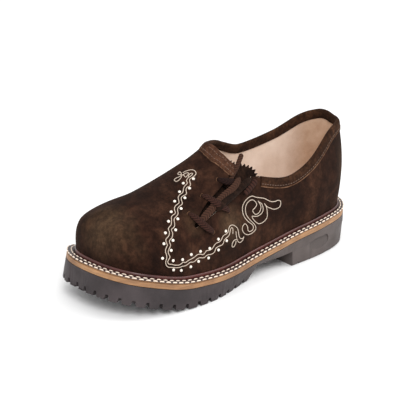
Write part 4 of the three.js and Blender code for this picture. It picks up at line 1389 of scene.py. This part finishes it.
BAND = 7.6  # width of the binding
STRIP_BAND = 10.6  # width of its end beside the slit
STRIP_LENGTH, STRIP_BLEND = 30.0, 14.0
STRIP_PIXELS = [(237.2, 169.6), (234.3, 166.4), (230.3, 162.9), (226.3, 159), (222.5, 155.2)]
STRIP_JOIN = 0.8  # share of the throat's column at which the strip meets the throat's edge
ROUND_END = 4.2  # radius of the strip's end
OPENING_END = 4.55  # section at which the binding ends beside the lacing
BAND_RINGS = 360
BAND_OUTSIDE = [
    (0.12, BAND),
    (0.6, BAND - 0.05),
    (0.95, BAND - 0.5),
    (1.1, BAND - 1.2),
    (1.0, BAND - 2.2),
    (1.15, BAND / 2),
    (1.2, 1.6),
]
BAND_FOLD = [(1.15, 0.3), (0.75, -0.75), (0.0, -1.3), (-1.0, -1.5), (-2.0, -1.3), (-2.8, -0.7), (-3.15, 0.4)]
BAND_INSIDE = [(-3.15, BAND / 2), (-3.1, BAND - 0.8), (-2.85, BAND - 0.1), (-2.4, BAND)]
BAND_ON_WALL = [(-2.3, BAND / 2), (-2.3, -0.15), (0.12, -0.15), (0.12, BAND / 2)]
BAND_SECTION = BAND_OUTSIDE + BAND_FOLD + BAND_INSIDE + BAND_ON_WALL  # (offset, depth)
PIPING_RADIUS = 0.55
COLLAR_STITCH = (3.1, 2.2, 0.55)
THROAT_STITCHES = 34.0  # length of the row along the throat
SHEET_SECTIONS = np.linspace(3.8, 6.6, 43)
SHEET_SHARES = np.linspace(0.45, 0.95, 41)


def sheet_over_slit():
    """The vamp's surface drawn on over the slit and the opening."""
    points = np.array([[vamp(section, share) for share in SHEET_SHARES] for section in SHEET_SECTIONS])
    return points.reshape(-1, 3), grid_faces(len(SHEET_SECTIONS), len(SHEET_SHARES))


SHEET, SHEET_QUADS = sheet_over_slit()
SHEET_NORMALS = vertex_normals(SHEET, SHEET_QUADS)
SHEET_NORMALS *= np.sign(np.sum(SHEET_NORMALS[:, 1:] * [-1, 1]))
SHEET_BVH = face_tree(SHEET, SHEET_QUADS)


def nearest_on(points, bvh, quads, corners, corner_normals):
    """The nearest places of a surface, and its smooth normals there."""
    places, normals = [], []
    for p in np.atleast_2d(points):
        hit, _, index, _ = bvh.find_nearest(Vector(p))
        near = list(quads[index])
        weights = 1 / (0.15 + np.linalg.norm(corners[near] - np.array(hit), axis=1))
        places.append(np.array(hit))
        normals.append(unit((corner_normals[near] * weights[:, None]).sum(0)))
    return np.array(places), np.array(normals)


def opening_edge():
    """The edge of the opening from the strip beside the slit round the heel to the lacing."""
    lateral = int(THROAT * COLUMNS)
    start = lateral + int(EDGE_ROWS * (STRIP_JOIN - CORNER) / (1 - CORNER))
    end = int(OPENING_END * COLUMNS)
    loop = BRINK[start:] + BRINK[:end]
    strip = np.array([SHEET_BVH.ray_cast(*pixel_ray(*p))[0] for p in STRIP_PIXELS])
    strip_normals = nearest_on(strip, SHEET_BVH, SHEET_QUADS, SHEET, SHEET_NORMALS)[1]
    points = np.concatenate([strip, SKIN[loop]])
    normals = np.concatenate([strip_normals, SKIN_NORMALS[loop]])
    run = run_along(points)
    at = np.linspace(0, run[-1], BAND_RINGS)
    points, normals = interpolated(at, run, points), interpolated(at, run, normals)
    kernel = np.ones(5) / 5

    def softened(values):
        padded = np.concatenate([values[:1].repeat(2, 0), values, values[-1:].repeat(2, 0)])
        return np.stack([np.convolve(padded[:, k], kernel, "valid") for k in range(3)], 1)

    normals = unit(softened(softened(normals)))
    tangents = unit(softened(np.gradient(points, axis=0)))
    return points, normals, unit(np.cross(normals, tangents)), at


def skin_at(points):
    """The nearest places of the suede's face, and its normals there."""
    return nearest_on(points, SKIN_BVH, FACE_QUADS, SKIN, SKIN_NORMALS)


EDGE, EDGE_NORMALS, EDGE_DOWN, EDGE_RUN = opening_edge()
BESIDE_STRIP = 1 - smoothstep(EDGE_RUN, STRIP_LENGTH, STRIP_LENGTH + STRIP_BLEND)
BAND_WIDTHS = BAND + (STRIP_BAND - BAND) * BESIDE_STRIP
FROM_END = np.clip(EDGE_RUN / ROUND_END, 0, 1)
END_INSET = ROUND_END * (1 - np.sqrt(1 - (1 - FROM_END) ** 2))


def along_edge(offset, depth):
    """A line beside the edge of the opening: its depth below it, and its offset over the suede."""
    if depth <= 0:
        return EDGE + EDGE_DOWN * (depth + END_INSET)[:, None] + EDGE_NORMALS * offset, EDGE_NORMALS
    depths = END_INSET + (depth / BAND) * (BAND_WIDTHS - 2 * END_INSET)
    target = EDGE + EDGE_DOWN * depths[:, None]
    on_skin, skin_normals = skin_at(target)
    on_sheet, sheet_normals = nearest_on(target, SHEET_BVH, SHEET_QUADS, SHEET, SHEET_NORMALS)
    beside = (BESIDE_STRIP > 0.5)[:, None]
    normals = np.where(beside, sheet_normals, skin_normals)
    return np.where(beside, on_sheet, on_skin) + normals * offset, normals


def add_collar():
    """The binding folded over the edge, the light piping below it, and its seams."""
    lines = [along_edge(offset, depth)[0] for offset, depth in BAND_SECTION]
    rings = np.stack(lines, 1)
    band = make("collar_binding", *tube(rings), "binding_suede", ["collar"])
    # The binding's strip beside the slit is marked, and takes the second, lighter tone.
    mark(band, np.repeat(BESIDE_STRIP, len(BAND_SECTION)))
    dress(band, BINDING)
    piping = round_rings(*along_edge(0.35, BAND + 0.45), PIPING_RADIUS)
    dress(make("collar_piping", *tube(piping), "binding_suede"), PIPING)
    count = int(np.searchsorted(EDGE_RUN, THROAT_STITCHES))
    rows = (("collar_stitches", 1.02, BAND - 1.9, None), ("throat_stitches", 1.2, 2.0, count))
    for name, offset, depth, last in rows:
        line, normals = (v[:last] for v in along_edge(offset, depth))
        stitches(name, line, normals, *COLLAR_STITCH, 0.5, "binding_suede", SEAM_THREAD, 0.12)


add_collar()

# Strip over the back seam: half widths at shares of the wall's height
BACK_STRIP = table("share half", (0.06, 3.6), (0.5, 3.8), (0.76, 4.4), (0.84, 7.0), (0.9, 11.0), (0.93, 12.5))
BACK_STITCH = (3.0, 2.1, 0.5)


def add_back_strip():
    """A strip up the heel that widens under the binding, with a seam along both its edges."""
    shares = np.linspace(BACK_STRIP["share"][0], BACK_STRIP["share"][-1], 60)
    across = np.linspace(-1, 1, 15)
    halves = np.interp(shares, BACK_STRIP["share"], BACK_STRIP["half"])
    spine = column("lateral", 0, shares)
    rows = []
    for centre, half in zip(spine, halves):
        places, normals = skin_at([centre + np.array([0, -half * a, 0]) for a in across])
        rounded = 0.65 * (1 - np.abs(across) ** 6)[:, None] + 0.05
        rows.append(np.concatenate([places + normals * rounded, (places - normals * 0.3)[::-1]]))
    dress(make("back_strip", *tube(rows), "suede"), SUEDE)
    for name, side in (("back_stitches_outer", -1), ("back_stitches_inner", 1)):
        beside = np.outer(side * (halves - 1.1), [0, 1, 0])
        places, normals = skin_at((spine + beside)[1:-2])
        stitches(name, places + normals * 0.68, normals, *BACK_STITCH, 0.5, "suede", SEAM_THREAD, 0.1)


add_back_strip()

# tongue
TONGUE_DEPTH = 5.35
TONGUE_THICK = 1.6
TONGUE_TUCK = 3.0
TONGUE_EDGE = [(217.5, 160.5), (221, 160.3), (224.8, 160.9), (228.5, 161.9), (231.3, 163.8), (236, 165.4),
               (242, 166.4), (245.5, 167.2), (248.7, 168.3), (251.5, 169.8), (253.7, 172.2), (255.2, 175.5),
               (257.5, 179.5)]
TOOTH_PITCH = 3.5
TOOTH = 2.9
TOOTH_THICK = 0.9
PER_TOOTH = 8


def tongue_face(i, share, extra=0.0, depth=TONGUE_DEPTH):
    """A place on the tongue, at a row, a share across and a rise over that row."""
    row = curve(TONGUE, "i", i)
    section = row["front_section"] + (row["back_section"] - row["front_section"]) * share
    rise = row["front_share"] + (row["back_share"] - row["front_share"]) * share
    return vamp(section, rise + extra / INSTEP, -depth - TONGUE_TUCK * share * share)


def pinked_edge():
    """The tongue's top edge, its pinked points and its normals."""
    shares, extras = np.linspace(-0.2, 1.1, 53), np.linspace(-16, 24, 41)
    top = np.array([[tongue_face(0, share, extra) for extra in extras] for share in shares]).reshape(-1, 3)
    quads = grid_faces(len(shares), len(extras))
    over, corner_normals = face_tree(top, quads), vertex_normals(top, quads)
    corner_normals *= np.sign(np.sum(corner_normals[:, 1:] * [-1, 1]))
    line = catmull([over.ray_cast(*pixel_ray(*p))[0] for p in TONGUE_EDGE], 200)
    teeth = int(run_along(line)[-1] / TOOTH_PITCH)
    edge = catmull(line, teeth * PER_TOOTH + 1)
    normals = nearest_on(edge, over, quads, top, corner_normals)[1]
    tangent = unit(np.gradient(edge, axis=0))
    away = unit(np.cross(tangent, normals))
    away *= np.sign(away[:, 2].sum())
    saw = 1 - np.abs(2 * ((np.arange(len(edge)) / PER_TOOTH) % 1) - 1)
    return edge, edge + (away + 0.25 * normals) * (TOOTH * saw)[:, None], normals


def add_tongue():
    """The tongue behind the slit. Its pinked edge is drawn where the photo shows it."""
    edge, points_of_teeth, normals = pinked_edge()
    across = len(edge) - 1
    shares = np.arange(across + 1) / across
    shift = edge - np.array([tongue_face(0, share) for share in shares])
    rows = [np.concatenate([points_of_teeth, (points_of_teeth - normals * TOOTH_THICK)[::-1]])]
    for i in np.concatenate([np.linspace(0, 1, 12, endpoint=False), np.linspace(1, 5, 26)]):
        eased = shift * max(1 - i, 0) ** 2
        front, behind = (np.array([tongue_face(i, share, 0, depth) for share in shares]) + eased
                         for depth in (TONGUE_DEPTH, TONGUE_DEPTH + TONGUE_THICK))
        rows.append(np.concatenate([front, behind[::-1]]))
    points, faces = tube(rows, capped=False)
    around = 2 * (across + 1)
    for base in (0, (len(rows) - 1) * around):
        far = base + around - 1
        faces += [(base + k, base + k + 1, far - k - 1, far - k) for k in range(across)]
    dress(make("tongue_suede", points, faces, "binding_suede", ["tongue"]), DARK_SUEDE)


add_tongue()

# lacing
BAR_PIXELS = [
    [(216.9, 179.3), (224.5, 181.8), (233, 183.2), (241, 186)],
    [(201.4, 195.2), (208.6, 199.5), (218, 205.8), (229.3, 211.8)],
    [(188.2, 213.2), (195.4, 219.8), (204.2, 227.2), (213.6, 232.7)],
]
BAR_LIFTS = (0.0, 1.3, 1.7)
BAR_DIVE = 2.4  # how deep a bar's ends go into the suede
BAR_THICK = 3.4
BAR_WIDTH = 6.8
RIM_REACH = 3.0
RIM_SIZE = 0.42
RUN_WIDTH = 7.2
RUN_THICK = 1.8
RUN_PIXELS = [(200.6, 221.6), (207.4, 213.6), (214.6, 205.4), (222.8, 196.4), (231.4, 187.6), (238.6, 178.2)]
RUN_LIFTS = [0.9, 1.2, 1.4, 1.8, 4.2, 2.6]
ROLL_PIXELS = [(215, 211), (222, 204), (230.4, 196.4), (238, 189.4), (244.6, 183), (249.6, 178.4)]
ROLL_WIDTH = 6.4
BARREL_PIXELS = [(242.6, 194.6), (248.2, 188), (254, 180.6)]
BARREL_WIDTH = 5.8
BARREL_RIBS = 6


def over_skin(pixels, count, lift):
    """A line over the suede through the photo's pixels, and the normals beside it."""
    path = catmull([on_face(*p, SKIN_BVH)[0] for p in pixels], count)
    places, normals = skin_at(path)
    return places + normals * lift, normals


def add_bars():
    """Three bars over the slit, thick in their middle, whose ends dive into holes."""
    steps = 130
    share = np.linspace(0, 1, steps)
    bulge = np.sqrt(np.clip(1 - (2 * share - 1) ** 2, 0, 1))
    for k, (pixels, rise) in enumerate(zip(BAR_PIXELS, BAR_LIFTS)):
        thick = BAR_THICK * (0.25 + 0.75 * bulge)
        lift = thick / 2 + rise * bulge - BAR_DIVE * (1 - bulge) ** 2
        path, ups = over_skin(pixels, steps, lift[:, None])
        width = BAR_WIDTH * (0.16 + 0.84 * bulge)
        # The first bar lies under the strip's end and takes the lace painted darker as its shadow.
        material = LACE if k else SHADOWED_LACE
        braid(f"lace_bar_{k + 1}", path, ups, width, thick, material, ["lace_crossings"],
              pitch=2.9, relief=0.34, chevron=1.2)


def add_rims():
    """Cut rims of the holes into which the bars dive."""
    steps = 24
    size = RIM_SIZE * np.sin(np.linspace(0.12, math.pi - 0.12, steps)) ** 0.5
    ends = [pixels[:2] for pixels in BAR_PIXELS] + [pixels[:-3:-1] for pixels in BAR_PIXELS[1:]]
    rims = []
    for end, inner in ends:
        out = unit(np.subtract(end, inner))
        beside = np.array([-out[1], out[0]])
        arc = [end + RIM_REACH * (out * (0.35 * math.cos(a) - 0.1) + beside * 0.62 * math.sin(a))
               for a in np.linspace(-1.9, 1.9, 9)]
        rims.append(round_rings(*over_skin(arc, steps, 0.15), size))
    dress(make("hole_rims", *joined_tubes(rims), "suede"), PIPING)


def add_run():
    """The flat stretch of lace that runs over the slit, under the bars."""
    count = 170
    hits = [on_face(*p, SKIN_BVH) for p in RUN_PIXELS]
    path = catmull([h[0] + h[1] * lift for h, lift in zip(hits, RUN_LIFTS)], count)
    _, ups = skin_at(path)
    share = np.linspace(0, 1, count)
    ends = np.sqrt(np.clip(np.minimum(1, np.minimum(share, 1 - share) / 0.05), 0.1, 1))
    width = RUN_WIDTH * np.interp(share, [0, 0.1, 0.9, 1], [0.8, 1, 0.9, 0.6])
    braid("lace_run", path, ups, width * ends, RUN_THICK * ends, LIGHT_LACE, ["lace_crossings"],
          pitch=2.8, relief=0.35, chevron=0.9)


def add_roll():
    """The rolled edge of the quarter beside the slit."""
    steps = 80
    from_end = np.minimum(np.linspace(0, 8, steps), np.linspace(8, 0, steps))
    radius = ROLL_WIDTH / 2 * np.sqrt(np.clip(from_end, 0.02, 1))
    rings = round_rings(*over_skin(ROLL_PIXELS, steps, ROLL_WIDTH * 0.34), radius, 0.9, 16)
    dress(make("quarter_roll", *tube(rings), "suede"), DARK_SUEDE)


def add_barrel():
    """The lace wound around its own end, as a ribbed barrel."""
    steps, sides = 90, 24
    share = np.linspace(0, 1, steps)
    ends = np.sqrt(np.clip(1 - np.abs(2 * share - 1) ** 8, 0.02, 1))
    rib = np.abs(np.sin(math.pi * BARREL_RIBS * share)) ** 0.6
    radius = BARREL_WIDTH / 2 * ends * (0.86 + 0.14 * rib)
    rings = round_rings(*over_skin(BARREL_PIXELS, steps, 3.0), radius, 0.62, sides)
    obj = make("lace_barrel", *tube(rings), "lace", ["lace_crossings"])
    # The valleys between the ribs take the lace's painted groove shade.
    mark(obj, np.repeat(rib, sides))
    dress(obj, LACE)


add_bars()
add_rims()
add_run()
add_roll()
add_barrel()

# Embroidery. Lines of the vine and knots, in pixels of the photo.
LEFT_KNOTS = [(183.3, 183.5), (179.5, 192), (174.6, 201.5), (171.1, 212), (168.4, 221.5), (165.3, 233),
              (163.8, 243.8), (162.4, 258.3)]
RIGHT_KNOTS = [(193.4, 179), (189.5, 188.5), (184.8, 198), (181, 208.7), (177.7, 219), (175.5, 230),
               (172.8, 240.4), (171, 250.4), (173, 260.6)]
UPPER_KNOTS = [(182.4, 259.6), (191.1, 254.5), (200.3, 251.4), (209.5, 248.4), (218.2, 239.2), (225.6, 231.1)]
LOWER_KNOTS = [(173.3, 269.8), (181.1, 270.3), (190.6, 266.7), (198.3, 261.3), (208.3, 257.9), (218.2, 249.9),
               (226.4, 240.7)]
LEFT_LINE = [(188.5, 177.3), (186.5, 180.6), (187.2, 182.7), (186.8, 184.2), (184.9, 186), (183.6, 188.3),
             (183.2, 190.8), (182.4, 193), (180.3, 194.5), (178.6, 196.2), (178.2, 198.5), (178.8, 201),
             (178.9, 203), (177.3, 204.5), (175.4, 206), (174.4, 208.3), (174.6, 210.5), (175.3, 212.5),
             (174.6, 214.1), (172.6, 215.5), (171.3, 217.3), (171.4, 220), (171.3, 223), (171, 225),
             (169.5, 226.8), (168.3, 228.6), (168.5, 230.4), (169.3, 232.2), (169, 235), (167.6, 237.3),
             (166, 239), (165.8, 241), (166.5, 243.2), (167.3, 245), (166.4, 247.2), (165.6, 249.2),
             (165.3, 252), (166.4, 255), (166.6, 258), (165.7, 261), (165.9, 264.5), (168, 267),
             (172, 267.4), (176, 267.7), (180, 267.2), (182, 266.3), (184.8, 265.8), (187.5, 264.3),
             (190, 262.3), (193, 262), (195, 260.8), (197, 258.9), (199.5, 257.7), (202, 257.8),
             (204.3, 257.4), (206, 255.8), (208, 254.7), (211, 254.2), (213.3, 253), (214.7, 251.2),
             (215.4, 248.8), (217, 247.2), (219.5, 245.9), (222, 244.7), (223.2, 242.9), (223.8, 240.8),
             (225, 238.9), (227, 237.2), (228.9, 235.1), (229.6, 232.5), (230.2, 229.6), (231.5, 227.6),
             (232.6, 229.2), (232.6, 233.8)]
RIGHT_LINE = [(182.9, 173), (186.5, 171.1), (191.2, 170), (194.5, 170.8), (196, 173), (195.2, 175.3),
              (192.5, 177.6), (189.7, 179.6), (190, 182.5), (190.5, 184.6), (189.5, 186.6), (187.4, 187.3),
              (186.2, 189), (186, 191), (186.5, 193), (185.8, 194.7), (183.5, 195.8), (181.5, 197.4),
              (181.2, 199.5), (182, 202), (182.3, 203.7), (181, 205.3), (179.2, 206.5), (177.8, 208.4),
              (177.5, 210.5), (178, 213), (177.5, 215), (175.8, 217), (174.3, 218.6), (174, 220.5),
              (174.4, 223), (174.5, 225.8), (173.3, 227.8), (171.5, 229.3), (171.6, 231), (172.5, 233),
              (172.4, 235.5), (171.6, 238), (170, 239.6), (169.3, 241.5), (170, 243.8), (170.4, 245.3),
              (169.6, 247.5), (168.7, 249.5), (168, 252), (168.8, 254.5), (169.8, 256.8), (168.6, 259.5),
              (167.6, 261.6), (168.6, 263.9), (171.5, 264.3), (175, 265.1), (179, 264.9), (181.3, 263.5),
              (183, 262.1), (185.3, 262.4), (187.5, 260.9), (190, 259.5), (193, 257.9), (195.3, 256.2),
              (197.5, 254.5), (200.2, 254.1), (203, 254.5), (204.8, 252.8), (206.2, 250.8), (208.8, 250.3),
              (211.3, 249.2), (213, 247.2), (214.6, 244.6), (216.8, 242.8), (219.3, 241.8), (220.9, 240),
              (222.2, 237.2), (223.8, 235.2), (226, 234), (227.9, 231.8), (228.6, 228.5), (229.6, 226.1),
              (231.7, 225), (234.6, 225.8), (237.2, 228.3), (238.2, 232.1), (238.8, 235.9), (240.1, 238.4),
              (242.2, 238.4), (243.7, 236.7)]
CURLS = [
    [(181.2, 175.9), (178.6, 177.3), (175.6, 178.6), (174.3, 180.4), (176.3, 181.7), (178.9, 180.3),
     (181.2, 177.6), (181.3, 175.6)],
    [(181.2, 175), (179.4, 174.8), (177.9, 174.1), (179.6, 172.1), (181.2, 173.3), (181.3, 175.2)],
    [(181.6, 175.2), (182.9, 175.3), (185.2, 173.6), (188.2, 173), (188.2, 174.6), (185.9, 177.3),
     (184.2, 175.9), (183.1, 174.6)],
    [(188.5, 175.9), (190.2, 173.8), (192.7, 173.5), (191.8, 175.3), (188.9, 177.4), (188.5, 175.9)],
    [(235.7, 231.3), (235.9, 234.6), (236.5, 238.4), (237.6, 241.4), (239.7, 242.4), (242.2, 240.5),
     (243.5, 237.2)],
    [(236.3, 239.3), (233.8, 240.5), (232.1, 243.5), (231.9, 246.6), (233.4, 246.8), (235.1, 244.3),
     (235.9, 240.9)],
    [(264.1, 203.5), (266.6, 206.4), (270, 208.1), (273.8, 209.2), (277.6, 208.1), (279.7, 206.4),
     (280.5, 203.5), (280.1, 200.9), (277.6, 200.3), (274.6, 201.5), (270.8, 201.5), (267.9, 200.3),
     (264.1, 198.4), (259.9, 197.8), (255.7, 197.2), (251.9, 196.1), (248.1, 197.8), (244.7, 201.4),
     (242.6, 205.6), (242.2, 209.4), (242.8, 213.6), (244.7, 217.8), (248.1, 221.6), (251.9, 224.5),
     (253.2, 227.1), (252.1, 230), (249.4, 231.5), (247.7, 230), (247.3, 226.6), (245, 223.7),
     (243.1, 225.4), (242, 228.3), (243.1, 232.1), (246.4, 234.6), (250.6, 233.8), (254.4, 230.8),
     (255.7, 227.9), (254.4, 224.5), (251.5, 221.6), (248.1, 217.8), (246, 214.4), (245.2, 210.2),
     (245.6, 206), (247.7, 202.2), (251.1, 199.9), (254, 200.7), (256.5, 204.3), (254.8, 207.7),
     (252.5, 210.2), (253.4, 212.7), (255.7, 214.4), (258.6, 212.7), (260.3, 209.4), (260.5, 205.6),
     (257.8, 200.9)],
    [(258.6, 201.9), (261.2, 203.5), (262.8, 207.3), (262.6, 211.1), (260.7, 214), (257.4, 216.1),
     (254.4, 216.3), (251.7, 216.1)],
    [(251.9, 216.6), (252.3, 218.2), (254.8, 221.2), (257.8, 223.5), (261.2, 223.1), (264.5, 220.7),
     (266.6, 217.8), (267.1, 214), (266.6, 208.9), (265.6, 205.6), (264.3, 203.9)],
]
CHAIN_WIDTH = 0.78
CHAIN_PITCH = 1.7
KNOT_SIZE = 2.7


def chain(pixels):
    """A chain-stitched line: rings of a thread whose links swell in turn."""
    flat = catmull([(x, y, 0) for x, y in pixels], max(len(pixels) * 6, 24))[:, :2]
    hits = [on_face(x, y, SKIN_BVH) for x, y in flat]
    line, normals = (np.array([hit[k] for hit in hits]) for k in range(2))
    run = run_along(line)
    at = np.linspace(0, run[-1], max(int(run[-1] / CHAIN_PITCH * 5), 12))
    line, normals = (interpolated(at, run, v) for v in (line, normals))
    link = np.abs(np.sin(math.pi * at / CHAIN_PITCH)) ** 0.5
    return round_rings(line + normals * 0.25, normals, CHAIN_WIDTH / 2 * (0.72 + 0.28 * link), 0.8)


def knot(px, py):
    """A small satin-stitched knot: a low dome."""
    centre, normal = on_face(px, py, SKIN_BVH)
    across = unit(np.cross(normal, [0.3, 0.1, 1]))
    other = np.cross(normal, across)
    angles = np.arange(14) * math.pi / 7
    around = np.outer(np.cos(angles), across) + np.outer(np.sin(angles), other)
    rings = []
    for a in np.linspace(-0.4, 0.5, 7) * math.pi:
        radius = KNOT_SIZE / 2 * max(math.cos(a), 0.05)
        rings.append(centre + normal * (0.3 + 0.95 * math.sin(a)) + around * radius)
    return rings


def add_embroidery():
    vine = [chain(line) for line in [LEFT_LINE, RIGHT_LINE, *CURLS]]
    dress(make("embroidery_vine", *joined_tubes(vine), "suede"), EMBROIDERY)
    knots = [knot(*p) for p in LEFT_KNOTS + RIGHT_KNOTS + UPPER_KNOTS + LOWER_KNOTS]
    dress(make("embroidery_knots", *joined_tubes(knots), "suede"), KNOTS)


add_embroidery()

dress(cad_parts["insole"], LINING)

# floor and light


def add_floor():
    reach = 6.0
    mesh = bpy.data.meshes.new("floor")
    corners = [(reach * x, reach * y, 0) for x, y in ((-1, -1), (1, -1), (1, 1), (-1, 1))]
    mesh.from_pydata(corners, [], [(0, 1, 2, 3)])
    floor = bpy.data.objects.new("floor", mesh)
    bpy.context.scene.collection.objects.link(floor)
    s = Shader("floor", 0.9)
    s.colour(s.ramp(s.noise(3, 2), (0.3, (0.9, 0.9, 0.9, 1)), (0.7, (0.93, 0.93, 0.93, 1))))
    floor.data.materials.append(s.mat)


def area_light(name, place, target, size, power):
    data = bpy.data.lights.new(name, "AREA")
    data.shape = "DISK"
    data.size = size
    data.energy = power
    light = bpy.data.objects.new(name, data)
    light.location = place
    light.rotation_mode = "QUATERNION"
    light.rotation_quaternion = (Vector(target) - Vector(place)).to_track_quat("-Z", "Y")
    bpy.context.scene.collection.objects.link(light)


def add_light():
    world = bpy.data.worlds.new("studio")
    world.use_nodes = True
    world.node_tree.nodes["Background"].inputs["Color"].default_value = (1, 1, 1, 1)
    world.node_tree.nodes["Background"].inputs["Strength"].default_value = 0.95
    bpy.context.scene.world = world
    area_light("key", (-0.9, -1.3, 1.5), (0, 0, 0.05), 1.0, 26)
    area_light("fill", (1.2, -0.9, 1.0), (0, 0, 0.05), 1.2, 10)


add_floor()
add_light()
bpy.context.scene.view_settings.view_transform = "Standard"
bpy.context.scene.view_settings.look = "None"
